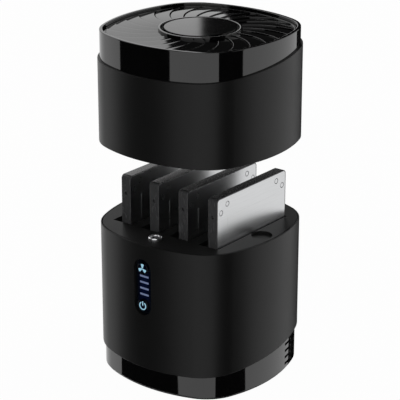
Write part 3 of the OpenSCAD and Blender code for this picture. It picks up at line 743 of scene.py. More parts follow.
@dataclass(frozen=True)
class BodyPlan:
    """Plan of the body: four bulged sides joined by round corners, in millimetres."""

    half_width: float = 57.0
    corner_reach: float = 62.5
    turn_cos: float = 0.936
    turn_sin: float = 0.352
    side_steps: int = 44
    corner_steps: int = 28

    @property
    def side_centre(self) -> float:
        """Distance from the middle to the centre of the opposite side's bulge."""
        return (self.turn_cos - self.turn_sin) * self.corner_reach

    @property
    def corner_centre(self) -> float:
        """Distance from the middle planes to the centre of a corner's round."""
        return self.turn_sin * self.corner_reach

    @property
    def face_radius(self) -> float:
        """Radius of a side's bulge."""
        return self.half_width + self.side_centre

    @property
    def corner_radius(self) -> float:
        """Radius of a corner's round."""
        return self.face_radius - self.corner_reach

    def loop(self, inset: float) -> list[Point2]:
        """Points round the plan, drawn in from the outside, anticlockwise.

        Args:
            inset: how far in, in millimetres.

        Returns:
            The points in X and Y.
        """
        turn = math.atan2(self.turn_sin, self.turn_cos)
        points: list[Point2] = []
        for quarter in range(4):
            spin = quarter * math.pi / 2
            arc: list[Point2] = []
            for step in range(self.side_steps):
                angle = -turn + 2 * turn * step / self.side_steps
                radius = self.face_radius - inset
                arc.append((radius * math.cos(angle) - self.side_centre, radius * math.sin(angle)))
            for step in range(self.corner_steps):
                angle = turn + (math.pi / 2 - 2 * turn) * step / self.corner_steps
                radius = self.corner_radius - inset
                arc.append((self.corner_centre + radius * math.cos(angle),
                            self.corner_centre + radius * math.sin(angle)))
            points += [(x * math.cos(spin) - y * math.sin(spin),
                        x * math.sin(spin) + y * math.cos(spin)) for x, y in arc]
        return points

    @staticmethod
    def rounded(section: Sequence[Corner], steps: int = 4) -> list[Corner]:
        """Section with its corners rounded as they ask.

        Args:
            section: the corners in order.
            steps: facets across each rounding.

        Returns:
            The rounded section's corners.
        """
        done: list[Corner] = []
        for index, corner in enumerate(section):
            before, after = section[index - 1], section[(index + 1) % len(section)]
            if corner.rounding == 0:
                done.append(corner)
                continue
            here = Vector((corner.inset, corner.z))
            into = (Vector((before.inset, before.z)) - here).normalized() * corner.rounding
            out = (Vector((after.inset, after.z)) - here).normalized() * corner.rounding
            for step in range(steps + 1):
                share = step / steps
                point = here + into * (1 - share) ** 2 + out * share ** 2
                done.append(Corner(point.x, point.y, corner.slope))
        return done

    def loops(self, section: Sequence[Corner]) -> list[list[Point3]]:
        """Loop round the plan for each corner of a rounded section."""
        return [[(x, y, corner.z + corner.slope * y) for x, y in self.loop(corner.inset)]
                for corner in self.rounded(section)]

    def wall(self, name: str, section: Sequence[Corner]) -> bpy.types.Object:
        """Wall swept round the plan.

        Args:
            name: the object's name.
            section: the wall's closed section, outer side upwards first.

        Returns:
            The linked object.
        """
        return skin(name, self.loops(section), ring=True)

    def band(self, name: str, insets: Point2, heights: Point2) -> bpy.types.Object:
        """Plain upright wall between two insets and two heights.

        Args:
            name: the object's name.
            insets: insets of its outer and inner side.
            heights: heights of its foot and top.

        Returns:
            The linked object.
        """
        (outer, inner), (low, high) = insets, heights
        return self.wall(name, [Corner(outer, low), Corner(outer, high), Corner(inner, high),
                                Corner(inner, low)])

    def plate(self, name: str, section: Sequence[Corner]) -> bpy.types.Object:
        """Plate with the body's plan, from the lower rim of its section to the upper one."""
        return skin(name, self.loops(section))


PLAN = BodyPlan()


class Builder:
    """What every sub-assembly shares: handing a finished piece over."""

    def hand_over(self, piece: bpy.types.Object, finish: Finish, rider: Body, slot: Slot,
                  *nodes: str) -> bpy.types.Object:
        """Dresses a piece, ties it to its body and hides the nodes that it stands for.

        Args:
            piece: the finished mesh object.
            finish: its finish.
            rider: the body that it rides on.
            slot: the record's slot of its finish; not used.
            *nodes: the nodes that it replaces.

        Returns:
            The piece.
        """
        if not piece.data.materials:
            piece.data.materials.append(finish.material())
        smooth(piece)
        body = rider.value
        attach(piece, body)
        if nodes:
            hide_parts(*nodes)
        LOG.info("%s: %d faces on %s", piece.name, len(piece.data.polygons), body)
        return piece


@dataclass
class FrontPanel(Builder):
    """Pill-shaped window with two lit keys and four lit bars."""

    x: float = 0.0
    z: float = 69.2
    width: float = 12.4
    height: float = 36.0
    sink: float = 1.8
    thickness: float = 1.2
    floor: float = 0.9
    gap: float = 0.2
    pad_margin: float = 1.7
    sweep: Point2 = (40.0, 95.0)
    cut_front: float = -70.0
    cut_back: float = -30.0
    end_steps: int = 24
    key_at: float = 12.2
    key_radius: float = 3.9
    key_gap: float = 0.3
    key_edge: float = 0.3
    key_front: float = -56.75
    key_glow: float = 0.5
    key_steps: int = 64
    flange_front: float = -52.6
    flange_thickness: float = 0.8
    flange_lip: float = 1.0
    stem_length: float = 1.2
    stem_radius: float = 1.7
    bars: int = 4
    bar_z: float = 69.8
    bar_pitch: float = 3.95
    bar_length: float = 6.6
    bar_height: float = 1.1
    sign_rise: float = 0.18
    sign_root: float = 0.1
    blades: int = 3
    blade: tuple[Point2, ...] = ((0.3, -0.3), (2.65, -1.15), (2.95, -0.45), (3.0, 0.3), (2.8, 1.05),
                                 (0.3, 0.3))
    ring_inner: float = 2.0
    ring_outer: float = 2.65
    ring_gap: float = 32.0
    ring_steps: int = 40
    mark_half: float = 0.32
    mark_ends: Point2 = (0.2, 2.9)

    @property
    def seat(self) -> float:
        """Depth of the window's seat in the shell."""
        return self.sink + self.thickness

    def key_z(self, side: int) -> float:
        """Height of the upper key for 1 and of the lower one for -1."""
        return self.z + side * self.key_at

    def pill(self, name: str, spare: float, back: float | None = None) -> bpy.types.Object:
        """Bar through the front with the window's outline.

        Args:
            name: the object's name.
            spare: how much larger the outline is all round.
            back: place of its rear end, or none for right through the wall.

        Returns:
            The linked object.
        """
        radius = self.width / 2 + spare
        straight = (self.height - self.width) / 2
        outline: list[Point2] = []
        for side in (1, -1):
            for step in range(self.end_steps + 1):
                angle = math.pi * step / self.end_steps + (0 if side > 0 else math.pi)
                outline.append((self.x + radius * math.cos(angle),
                                self.z + side * straight + radius * math.sin(angle)))
        ends = (self.cut_front, self.cut_back if back is None else back)
        return outward(skin(name, [[(x, y, z) for x, z in outline] for y in ends]))

    def key_cutter(self, side: int) -> bpy.types.Object:
        """Round hole for a key."""
        return bar("key_hole", self.key_radius + self.key_gap, -self.cut_back, -self.cut_front,
                   (self.x, 0, self.key_z(side)), "Y", self.key_steps)

    def bar_cutters(self) -> list[bpy.types.Object]:
        """Slots for the lit bars.

        Returns:
            One cutter for each bar.
        """
        half = (self.bar_length + self.gap) / 2
        tall = (self.bar_height + self.gap) / 2
        heights = [self.bar_z + (i - (self.bars - 1) / 2) * self.bar_pitch for i in range(self.bars)]
        return [block("bar_slot", (self.x - half, self.cut_front, z - tall),
                      (self.x + half, self.cut_back, z + tall)) for z in heights]

    def holes(self) -> list[bpy.types.Object]:
        """Cutters of the key holes and the bars' slots."""
        return [self.key_cutter(side) for side in (1, -1)] + self.bar_cutters()

    def pocket(self) -> bpy.types.Object:
        """Cutter of the shell's pocket for the window."""
        return self.pill("window_pocket", self.gap, self.seat - PLAN.half_width)

    def pad(self) -> bpy.types.Object:
        """Thickening of the shell that the window is seated in."""
        piece = PLAN.band("window_pad", (self.sink, self.seat + self.floor), self.sweep)
        return carve(piece, [self.pill("pad_outline", self.pad_margin)], "INTERSECT")

    def window(self) -> None:
        """The dark window."""
        piece = PLAN.band("front_window", (self.sink, self.seat), self.sweep)
        carve(piece, [self.pill("window_outline", 0)], "INTERSECT")
        carve(piece, self.holes())
        finish = LitWindow("lit_window", (self.x, self.z), (self.width / 2, self.height / 2))
        self.hand_over(piece, finish, Body.BASE, Slot.GLOSS, "front_panel")

    def key(self, name: str, node: str, side: int, body: Body) -> None:
        """One round key with its flange and stem.

        Args:
            name: the object's name.
            node: the node that it stands for.
            side: 1 for the upper key and -1 for the lower one.
            body: the key's body.
        """
        reach, stem, edge = self.key_radius, self.stem_radius, self.key_edge
        lip = reach + self.flange_lip
        front, flange = -self.key_front, -self.flange_front
        behind = flange - self.flange_thickness
        end = behind - self.stem_length
        profile = [(0, end), (stem, end), (stem, behind), (lip, behind), (lip, flange), (reach, flange),
                   (reach, front - edge), (reach - edge * SOFT, front - edge * SOFT),
                   (reach - edge, front), (0, front)]
        piece = lathe(name, profile, (self.x, 0, self.key_z(side)), "Y", self.key_steps)
        finish = LitWindow("lit_" + name, (self.x, self.key_z(side)), (reach, reach), self.key_glow)
        self.hand_over(piece, finish, body, Slot.GLOSS, node)

    def sign(self, name: str, outlines: Sequence[Sequence[Point2]], side: int, body: Body) -> None:
        """Raised lit sign on a key.

        Args:
            name: the object's name.
            outlines: closed outlines round the key's middle, anticlockwise, in millimetres.
            side: 1 for the upper key and -1 for the lower one.
            body: the key's body.
        """
        ends = (self.key_front - self.sign_rise, self.key_front + self.sign_root)
        middle = self.key_z(side)
        parts = [skin("sign_part", [[(self.x + x, y, middle + z) for x, z in outline] for y in ends])
                 for outline in outlines]
        piece = outward(merge(name, parts))
        self.hand_over(piece, Finishes.SIGN, body, Slot.LIGHT)

    def fan_blades(self) -> list[list[Point2]]:
        """Flared blades round a small middle.

        Returns:
            Each blade's outline round the key's middle.
        """
        turns = [math.pi / 2 + 2 * math.pi * i / self.blades for i in range(self.blades)]
        return [[(r * math.cos(turn) - t * math.sin(turn), r * math.sin(turn) + t * math.cos(turn))
                 for r, t in self.blade] for turn in turns]

    def power_mark(self) -> list[list[Point2]]:
        """Open ring with an upright bar in its gap.

        Returns:
            Outlines of the ring and the bar round the key's middle.
        """
        gap = math.radians(self.ring_gap)
        span = 2 * (math.pi - gap) / self.ring_steps
        turns = [math.pi / 2 + gap + span * i for i in range(self.ring_steps + 1)]
        ring = [(self.ring_outer * math.cos(a), self.ring_outer * math.sin(a)) for a in turns]
        ring += [(self.ring_inner * math.cos(a), self.ring_inner * math.sin(a)) for a in reversed(turns)]
        low, high = self.mark_ends
        half = self.mark_half
        return [ring, [(-half, low), (half, low), (half, high), (-half, high)]]

    def build(self) -> None:
        """Makes the window, the keys and their signs."""
        self.window()
        self.key("fan_key_cap", "fan_key", 1, Body.FAN_BUTTON)
        self.key("power_key_cap", "power_key", -1, Body.POWER_BUTTON)
        self.sign("fan_sign", self.fan_blades(), 1, Body.FAN_BUTTON)
        self.sign("power_sign", self.power_mark(), -1, Body.POWER_BUTTON)


@dataclass
class Base(Builder):
    """Lower half: shell, deck, gloss band and contact ring."""

    panel: FrontPanel
    top: float = 97.0
    deck_thickness: float = 3.0
    deck_edge: float = 0.3
    wall: float = 2.4
    lip: float = 0.8
    ledge: float = 1.2
    ledge_height: float = 3.0
    shadow_gap: float = 0.4
    foot_round: float = 0.5
    rim_round: float = 0.45
    lip_round: float = 0.3
    band_top: float = 21.0
    band_slope: float = math.tan(math.radians(5.5))
    band_inset: float = 1.5
    band_low: float = 2.2
    band_round: float = 0.5
    neck_outer: float = 2.6
    neck_inner: float = 3.8
    neck_height: float = 6.0
    bays: int = 4
    bay_pitch: float = 22.4
    bay_width: float = 13.2
    bay_depth: float = 71.45
    mouth: float = 0.5
    past: float = 5.0
    contact_y: float = -44.4
    contact_radius: float = 4.2
    contact_bore: float = 2.2
    contact_top: float = 98.6
    contact_gap: float = 0.1
    contact_steps: int = 10
    recess_x: float = 47.3
    recess_radius: float = 6.5
    recess_depth: float = 1.8
    vent_span: Point2 = (18.0, 66.0)
    vent_reach: Point2 = (40.0, 90.0)
    vent_web: float = 2.4
    vent_columns: int = 4
    vent_rows: int = 4
    vent_low: float = 4.6
    vent_pitch: float = 4.4
    vent_height: float = 1.8
    data_opening: tuple[Point3, Point3] = ((-17.2, 30, 9.9), (-4.8, 70, 21.2))
    power_opening: tuple[Point3, Point3] = ((6.3, 30, 9.9), (15.7, 70, 21.3))

    @property
    def deck_low(self) -> float:
        """Height of the deck's underside."""
        return self.top - self.deck_thickness

    def shell(self) -> None:
        """Matte shell with the window's opening and the ledge under the deck."""
        inner, ledge_low = self.wall + self.ledge, self.deck_low - self.ledge_height
        section = [Corner(0, self.band_top, self.band_slope, self.foot_round),
                   Corner(0, self.top, 0, self.rim_round), Corner(self.lip, self.top, 0, self.lip_round),
                   Corner(self.lip, self.deck_low), Corner(inner, self.deck_low),
                   Corner(inner, ledge_low), Corner(self.wall, ledge_low),
                   Corner(self.wall, self.band_top, self.band_slope)]
        piece = PLAN.wall("base_outer_shell", section)
        carve(piece, [self.panel.pad()], "UNION")
        carve(piece, [self.panel.pocket()] + self.panel.holes())
        self.hand_over(piece, Finishes.SHELL, Body.BASE, Slot.SHELL, "base_shell")

    def deck(self) -> None:
        """Deck with its four slots, contact hole and recesses."""
        inset = self.lip + self.shadow_gap
        low, high = self.deck_low - self.past, self.top + self.past
        piece = PLAN.plate("slotted_deck", [Corner(inset, self.deck_low), Corner(inset, self.top)])
        half, deep = self.bay_width / 2 + self.mouth, self.bay_depth / 2
        places = [self.bay_pitch * (i - (self.bays - 1) / 2) for i in range(self.bays)]
        cutters = [block("slot", (x - half, -deep, low), (x + half, deep, high)) for x in places]
        cutters.append(bar("hole", self.contact_radius + self.contact_gap, low, high,
                           (0, self.contact_y, 0)))
        cutters += [bar("recess", self.recess_radius, self.top - self.recess_depth, high,
                        (side * self.recess_x, 0, 0)) for side in (-1, 1)]
        carve(piece, cutters)
        soften(piece, self.deck_edge)
        self.hand_over(piece, Finishes.DECK, Body.BASE, Slot.SHELL, "deck")

    def vent_cutters(self) -> list[bpy.types.Object]:
        """Slots of the vent rows at both rear corners, as one cutter.

        Returns:
            A list that holds the one cutter.
        """
        near, far = self.vent_reach
        step = (self.vent_span[1] - self.vent_span[0]) / self.vent_columns
        slots = []
        for side in (1, -1):
            for row in range(self.vent_rows):
                low = self.vent_low + row * self.vent_pitch
                for column in range(self.vent_columns):
                    first = math.radians(self.vent_span[0] + column * step)
                    last = first + math.radians(step - self.vent_web)
                    corners = ((near, first), (far, first), (far, last), (near, last))
                    outline = [(radius * math.cos(angle) * side, radius * math.sin(angle))
                               for radius, angle in corners]
                    slots.append(outward(skin("vent", [[(x, y, z) for x, y in outline]
                                                       for z in (low, low + self.vent_height)])))
        return [merge("vents", slots)]

    def band(self) -> None:
        """Gloss band with its vents and port openings."""
        slope, neck_top = self.band_slope, self.band_top + self.neck_height
        section = [Corner(self.band_inset, self.band_low, 0, self.band_round),
                   Corner(self.band_inset, self.band_top, slope),
                   Corner(self.neck_outer, self.band_top, slope),
                   Corner(self.neck_outer, neck_top, slope),
                   Corner(self.neck_inner, neck_top, slope), Corner(self.neck_inner, self.band_low)]
        piece = PLAN.wall("base_gloss_band", section)
        ports = [block("data_opening", *self.data_opening), block("power_opening", *self.power_opening)]
        carve(piece, self.vent_cutters() + ports)
        self.hand_over(piece, Finishes.GLOSS, Body.BASE, Slot.GLOSS, "base_band")

    def contact(self) -> None:
        """Bright contact ring with a round top."""
        inner, outer, high = self.contact_bore, self.contact_radius, self.contact_top
        middle, round_r = (inner + outer) / 2, (outer - inner) / 2
        turns = [math.pi * step / self.contact_steps for step in range(self.contact_steps + 1)]
        profile = [(inner, self.deck_low), (outer, self.deck_low)]
        profile += [(middle + round_r * math.cos(a), high + round_r * (math.sin(a) - 1)) for a in turns]
        piece = lathe("bright_contact_ring", profile, (0, self.contact_y, 0))
        self.hand_over(piece, Finishes.CONTACT, Body.BASE, Slot.STEEL, "contact_ring")

    def build(self) -> None:
        """Makes the base's visible pieces."""
        self.shell()
        self.deck()
        self.band()
        self.contact()
        self.panel.build()


@dataclass
class SwirlVanes:
    """Pitched swirl vanes of the grille, made by a node tree from named sizes."""

    count: int = 24
    hub_radius: float = 24.5
    far_radius: float = math.sqrt(2) * PLAN.corner_centre + PLAN.corner_radius
    rim_inset: float = 4.8
    swirl: float = 30.0
    cover: float = 0.95
    top: float = 218.2
    thickness: float = 1.0
    drop: float = 0.5
    bend: float = 1.4
    passes: int = 4
    radial_steps: int = 18
    across_steps: int = 4
    first_guess: float = 0.8
    edge: float = 0.25

    def rim(self, cosine: Wire, sine: Wire) -> Wire:
        """Distance to the rim in a direction, in metres: the side's bulge or the corner's round.

        Args:
            cosine: cosine of the direction.
            sine: sine of the direction.

        Returns:
            The distance.
        """
        long = abs(cosine).larger(abs(sine))
        short = abs(cosine).smaller(abs(sine))
        centre, radius = PLAN.side_centre * MM, (PLAN.face_radius - self.rim_inset) * MM
        side = (radius * radius - short * short * (centre * centre)).root() - long * centre
        middle, round_r = PLAN.corner_centre * MM, (PLAN.corner_radius - self.rim_inset) * MM
        total = (long + short) * middle
        corner = (total * total - (2 * middle * middle - round_r * round_r)).root() + total
        edge_x = PLAN.turn_cos * radius - centre
        in_corner = short / long > PLAN.turn_sin * radius / edge_x
        return side + (corner - side) * in_corner

    def reach(self, start: Wire, swirl: Wire) -> Wire:
        """Share of the spiral at which it meets the rim, found by a few passes.

        Args:
            start: angle at which the spiral leaves the hub.
            swirl: how far the whole spiral turns back.

        Returns:
            The share, from 0 at the hub to 1 at the plan's far corner.
        """
        share = start * 0 + self.first_guess
        for _ in range(self.passes):
            angle = start - share ** self.bend * swirl
            edge = self.rim(angle.cosine(), angle.sine())
            share = (edge - self.hub_radius * MM) / ((self.far_radius - self.hub_radius) * MM)
        return share

    def tree(self) -> tuple[bpy.types.NodeTree, dict[str, str]]:
        """Node tree of the vanes.

        Returns:
            The tree, and the identifier of each named input.
        """
        tree = bpy.data.node_groups.new("swirl_vanes", "GeometryNodeTree")
        keys = {}
        for label in ("Count", "Swirl", "Cover", "Top", "Drop", "Thickness"):
            kind = "NodeSocketInt" if label == "Count" else "NodeSocketFloat"
            keys[label] = tree.interface.new_socket(label, in_out="INPUT", socket_type=kind).identifier
        tree.interface.new_socket("Geometry", in_out="OUTPUT", socket_type="NodeSocketGeometry")
        sheet = NodeSheet(tree)
        entry = tree.nodes.new("NodeGroupInput")
        given = {label: Wire(sheet, entry.outputs[label]) for label in keys}
        points = sheet.add("GeometryNodeMeshLine", None, {"Count": given["Count"], "Offset": (0, 0, 0)})
        index = sheet.add("GeometryNodeInputIndex")
        numbered = sheet.add("GeometryNodeStoreNamedAttribute",
                             {"data_type": "FLOAT", "domain": "POINT"},
                             {"Geometry": points, "Name": "vane", "Value": index})
        blank = sheet.add("GeometryNodeMeshCube", None,
                          {"Size": (1, 1, 1), "Vertices X": self.radial_steps + 1,
                           "Vertices Y": self.across_steps + 1, "Vertices Z": 2})
        copies = sheet.add("GeometryNodeInstanceOnPoints", None,
                           {"Points": numbered, "Instance": blank})
        solid = sheet.add("GeometryNodeRealizeInstances", None, {"Geometry": copies})
        along = sheet.add("ShaderNodeSeparateXYZ", None, {0: sheet.add("GeometryNodeInputPosition")})
        across, lift = along.other(1), along.other(2)
        vane = sheet.add("GeometryNodeInputNamedAttribute", {"data_type": "FLOAT"}, {"Name": "vane"})
        step = 2 * math.pi / given["Count"]
        start = vane * step + (across + 0.5) * step * given["Cover"]
        share = (along + 0.5) * self.reach(start, given["Swirl"])
        angle = start - share ** self.bend * given["Swirl"]
        radius = share * ((self.far_radius - self.hub_radius) * MM) + self.hub_radius * MM
        height = given["Top"] - (across + 0.5) * given["Drop"] - (0.5 - lift) * given["Thickness"]
        place = sheet.add("ShaderNodeCombineXYZ", None,
                          {0: radius * angle.cosine(), 1: radius * angle.sine(), 2: height})
        moved = sheet.add("GeometryNodeSetPosition", None, {"Geometry": solid, "Position": place})
        dressed = sheet.add("GeometryNodeSetMaterial", None,
                            {"Geometry": moved, "Material": Finishes.GLOSS.material()})
        out = tree.nodes.new("NodeGroupOutput")
        tree.links.new(dressed.socket, out.inputs[0])
        return tree, keys

    def make(self, name: str) -> bpy.types.Object:
        """Vanes as one plain mesh.

        Args:
            name: the object's name.

        Returns:
            The linked object.
        """
        piece = link(name, bpy.data.meshes.new(name))
        modifier = piece.modifiers.new("vanes", "NODES")
        modifier.node_group, keys = self.tree()
        sizes = {"Count": self.count, "Swirl": math.radians(self.swirl), "Cover": self.cover,
                 "Top": self.top * MM, "Drop": self.drop * MM, "Thickness": self.thickness * MM}
        for label, value in sizes.items():
            modifier[keys[label]] = value
        settle(piece)
        return soften(piece, self.edge)


@dataclass
class Lid(Builder):
    """Upper half: shell, gloss band, grille and hub cap."""

    low: float = 150.0
    height: float = 70.0
    wall: float = 2.4
    foot_round: float = 0.6
    inner_round: float = 0.3
    ledge_rise: float = 37.5
    ledge: float = 1.2
    ledge_height: float = 3.0
    band_low: float = 206.0
    band_slope: float = math.tan(math.radians(4.8))
    band_inset: float = 1.4
    band_round: float = 0.4
    rim_round: float = 0.6
    neck_outer: float = 2.6
    neck_inner: float = 3.8
    neck_height: float = 6.0
    seat: float = 211.5
    seat_width: float = 1.6
    seat_thickness: float = 2.0
    lug_x: float = 47.3
    lug_radius: float = 5.9
    lug_drop: float = 1.4
    lug_edge: float = 0.4
    lug_rise: float = 6.0
    lug_steps: int = 64
    web_half: float = 3.0
    web_low: float = 0.5
    web_reach: float = 55.0
    grille_outer: float = 4.0
    grille_inner: float = 5.6
    grille_rounds: Point2 = (0.3, 0.4)
    hub_outer: float = 25.5
    hub_inner: float = 23.5
    collar_drop: float = 0.4
    collar_edge: tuple[Point2, ...] = ((0, 0.5), (0.2, 0.1), (0.6, 0))
    cap_radius: float = 22.0
    cap_seat: float = 215.9
    cap_drop: float = 0.2
    cap_edge: tuple[Point2, ...] = ((0, 0.5), (0.15, 0.15), (0.5, 0))
    vanes: SwirlVanes = field(default_factory=SwirlVanes)

    @property
    def top(self) -> float:
        """Height of the lid's rim."""
        return self.low + self.height

    def lugs(self) -> list[bpy.types.Object]:
        """The two locating lugs and the webs that carry them.

        Returns:
            The lugs and webs as separate pieces.
        """
        reach, edge, drop = self.lug_radius, self.lug_edge, self.lug_drop
        profile = [(0, -drop), (reach - edge, -drop), (reach, edge - drop), (reach, self.lug_rise),
                   (0, self.lug_rise)]
        pieces = []
        for side in (-1, 1):
            pieces.append(lathe("lug", profile, (side * self.lug_x, 0, self.low), steps=self.lug_steps))
            inner, outer = sorted((side * self.lug_x, side * self.web_reach))
            pieces.append(block("web", (inner, -self.web_half, self.low + self.web_low),
                                (outer, self.web_half, self.low + self.lug_rise)))
        return pieces

    def shell(self) -> None:
        """Matte shell with the tray's ledge and the locating lugs."""
        ledge, inner = self.low + self.ledge_rise, self.wall + self.ledge
        section = [Corner(0, self.low, 0, self.foot_round),
                   Corner(0, self.band_low, self.band_slope, self.band_round),
                   Corner(self.wall, self.band_low, self.band_slope), Corner(self.wall, ledge),
                   Corner(inner, ledge), Corner(inner, ledge - self.ledge_height),
                   Corner(self.wall, ledge - self.ledge_height),
                   Corner(self.wall, self.low, 0, self.inner_round)]
        piece = merge("lid_outer_shell", [PLAN.wall("lid_outer_shell_wall", section)] + self.lugs())
        self.hand_over(piece, Finishes.SHELL, Body.LID, Slot.SHELL, "lid_shell")

    def band(self) -> None:
        """Gloss band that carries the grille."""
        slope, neck_low = self.band_slope, self.band_low - self.neck_height
        step, under = self.neck_inner + self.seat_width, self.seat - self.seat_thickness
        section = [Corner(self.neck_outer, neck_low, slope),
                   Corner(self.neck_outer, self.band_low, slope),
                   Corner(self.band_inset, self.band_low, slope),
                   Corner(self.band_inset, self.top, 0, self.rim_round),
                   Corner(self.neck_inner, self.top, 0, self.rim_round),
                   Corner(self.neck_inner, self.seat), Corner(step, self.seat),
                   Corner(step, under), Corner(self.neck_inner, under),
                   Corner(self.neck_inner, neck_low, slope)]
        piece = PLAN.wall("lid_gloss_band", section)
        self.hand_over(piece, Finishes.GLOSS, Body.LID, Slot.GLOSS, "lid_band")

    def grille(self) -> None:
        """Rim ring, hub collar and swirl vanes."""
        outer_round, inner_round = self.grille_rounds
        rim_top = self.vanes.top
        ring = PLAN.wall("grille_rim", [Corner(self.grille_outer, self.seat),
                                        Corner(self.grille_outer, rim_top, 0, outer_round),
                                        Corner(self.grille_inner, rim_top, 0, inner_round),
                                        Corner(self.grille_inner, self.seat)])
        lip = self.top - self.collar_drop
        profile = [(0, self.seat), (self.hub_outer, self.seat)]
        profile += [(self.hub_outer - side, lip - down) for side, down in self.collar_edge]
        profile += [(self.hub_inner + side, lip - down) for side, down in reversed(self.collar_edge)]
        profile += [(self.hub_inner, self.cap_seat), (0, self.cap_seat)]
        hub = lathe("grille_hub", profile, (0, 0, 0))
        piece = merge("swirl_grille", [ring, hub, self.vanes.make("grille_vanes")])
        piece.data.materials.clear()
        self.hand_over(piece, Finishes.GLOSS, Body.LID, Slot.GLOSS, "lid_grille")

    def cap(self) -> None:
        """Flat hub cap with a soft edge, left bare."""
        high, reach = self.top - self.cap_drop, self.cap_radius
        profile = [(0, self.cap_seat), (reach, self.cap_seat)]
        profile += [(reach - side, high - down) for side, down in self.cap_edge] + [(0, high)]
        piece = lathe("bare_hub_cap", profile, (0, 0, 0))
        self.hand_over(piece, Finishes.HUB, Body.LID, Slot.GLOSS, "hub_cap")

    def build(self) -> None:
        """Makes the lid's visible pieces."""
        self.shell()
        self.band()
        self.grille()
        self.cap()


@dataclass
class Drive(Builder):
    """One docked drive: dark case, silver cover and small screws."""

    number: int
    length: float = 100.0
    width: float = 69.85
    thickness: float = 7.0
    corner: float = 2.4
    corner_least: float = 0.5
    corner_steps: int = 8
    cover: float = 0.8
    cover_gap: float = 0.1
    cover_edge: float = 0.12
    foot: float = 28.0
    pitch: float = 22.4
    bays: int = 4
    bay: float = 13.2
    side_gap: float = 0.3
    edge: float = 0.3
    rim: float = 0.5
    notch_half: float = 22.0
    notch_height: float = 5.5
    notch_past: float = 5.5
    past: float = 3.0
    hole_at: float = 11.6
    hole_radius: float = 1.1
    hole_depth: float = 1.6
    screw_radius: float = 1.4
    screw_depth: float = 3.0
    screw_sink: float = 0.1
    screw_gap: float = 0.4
    screw_spots: tuple[Point2, ...] = ((10.0, 5.0), (3.9, 9.3))
    screw_steps: int = 32
    label: float = 0.05
    label_root: float = 0.2
    label_side: float = 10.4
    label_end: float = 13.3

    @property
    def x(self) -> float:
        """Middle of the drive's thickness."""
        bay_x = (self.number - (self.bays + 1) / 2) * self.pitch
        return bay_x + self.bay / 2 - self.side_gap - self.thickness / 2

    @property
    def body(self) -> Body:
        """The drive's body."""
        return Body(f"drive_{self.number}")

    def outline(self, inset: float) -> list[Point2]:
        """Rounded outline in Y and Z, shrunk by inset, anticlockwise seen from +X.

        Args:
            inset: how far in, in millimetres.

        Returns:
            The points.
        """
        radius = max(self.corner - inset, self.corner_least)
        reach_y, reach_z = self.width / 2 - inset - radius, self.length / 2 - inset - radius
        middle = self.foot + self.length / 2
        points: list[Point2] = []
        for quarter, (sy, sz) in enumerate(((1, 1), (-1, 1), (-1, -1), (1, -1))):
            for step in range(self.corner_steps + 1):
                angle = math.pi / 2 * (quarter + step / self.corner_steps)
                points.append((sy * reach_y + radius * math.cos(angle),
                               middle + sz * reach_z + radius * math.sin(angle)))
        return points

    def slab(self, name: str, rows: Sequence[Point2]) -> bpy.types.Object:
        """Slab through the drive's thickness.

        Args:
            name: the object's name.
            rows: place along X and inset of each ring, from low X to high X.

        Returns:
            The linked object.
        """
        loops = [[(self.x + place, y, z) for y, z in self.outline(inset)] for place, inset in rows]
        return skin(name, loops)

    def notch(self) -> bpy.types.Object:
        """Cutter of the socket's notch in the drive's lower edge.

        Returns:
            The linked object.
        """
        wide = self.thickness / 2 + self.notch_past
        return block("notch", (self.x - wide, -self.notch_half, self.foot - self.notch_past),
                     (self.x + wide, self.notch_half, self.foot + self.notch_height))

    def screw_places(self) -> list[Point2]:
        """Places of the cover's screws, in Y and Z."""
        return [(side * (self.width / 2 - y), self.foot + (z if low else self.length - z))
                for low in (False, True) for side in (-1, 1) for y, z in self.screw_spots]

    def side_holes(self) -> list[bpy.types.Object]:
        """Cutters of the blind holes in the case's narrow sides.

        Returns:
            One cutter for each hole.
        """
        holes = []
        for side in (-1, 1):
            place = -side * self.width / 2
            for z in (self.hole_at, self.length - self.hole_at):
                holes.append(bar("side_hole", self.hole_radius, place - self.hole_depth,
                                 place + self.hole_depth, (self.x, 0, self.foot + z), "Y",
                                 self.screw_steps))
        return holes

    def case(self) -> None:
        """Dark case with its side holes and the notch."""
        low, high, edge = -self.thickness / 2, self.thickness / 2, self.edge
        piece = self.slab(f"drive_{self.number}_dark_case",
                          [(low, edge), (low + edge * SOFT, edge * SOFT), (low + edge, 0),
                           (high - edge, 0), (high - edge * SOFT, edge * SOFT), (high, edge)])
        seat = self.slab("cover_seat", [(high - self.cover, self.rim), (high + self.past, self.rim)])
        carve(piece, [self.notch(), seat] + self.side_holes())
        self.hand_over(piece, Finishes.CASE, self.body, Slot.CASE, f"drive_{self.number}_case")

    def lid_plate(self) -> None:
        """Silver cover with its raised label and screw holes."""
        low, high = self.thickness / 2 - self.cover, self.thickness / 2 - self.label
        inset, edge = self.rim + self.cover_gap, self.cover_edge
        piece = self.slab(f"drive_{self.number}_silver_cover",
                          [(low, inset), (high - edge, inset), (high - edge * SOFT, inset + edge * SOFT),
                           (high, inset + edge)])
        half = self.width / 2 - self.label_side
        label = block("label", (self.x + high - self.label_root, -half, self.foot + self.label_end),
                      (self.x + high + self.label, half, self.foot + self.length - self.label_end))
        carve(piece, [label], "UNION")
        cutters = [self.notch()]
        for y, z in self.screw_places():
            hole = bar("screw_hole", self.screw_radius + self.screw_gap, -self.past, self.past,
                       (0, 0, 0), steps=self.screw_steps)
            hole.data.transform(Matrix.Translation(Vector((self.x + high, y, z)) * MM)
                                @ Matrix.Rotation(math.radians(90), 4, "Y"))
            cutters.append(hole)
        carve(piece, cutters)
        self.hand_over(piece, Finishes.COVER, self.body, Slot.COVER, f"drive_{self.number}_cover")

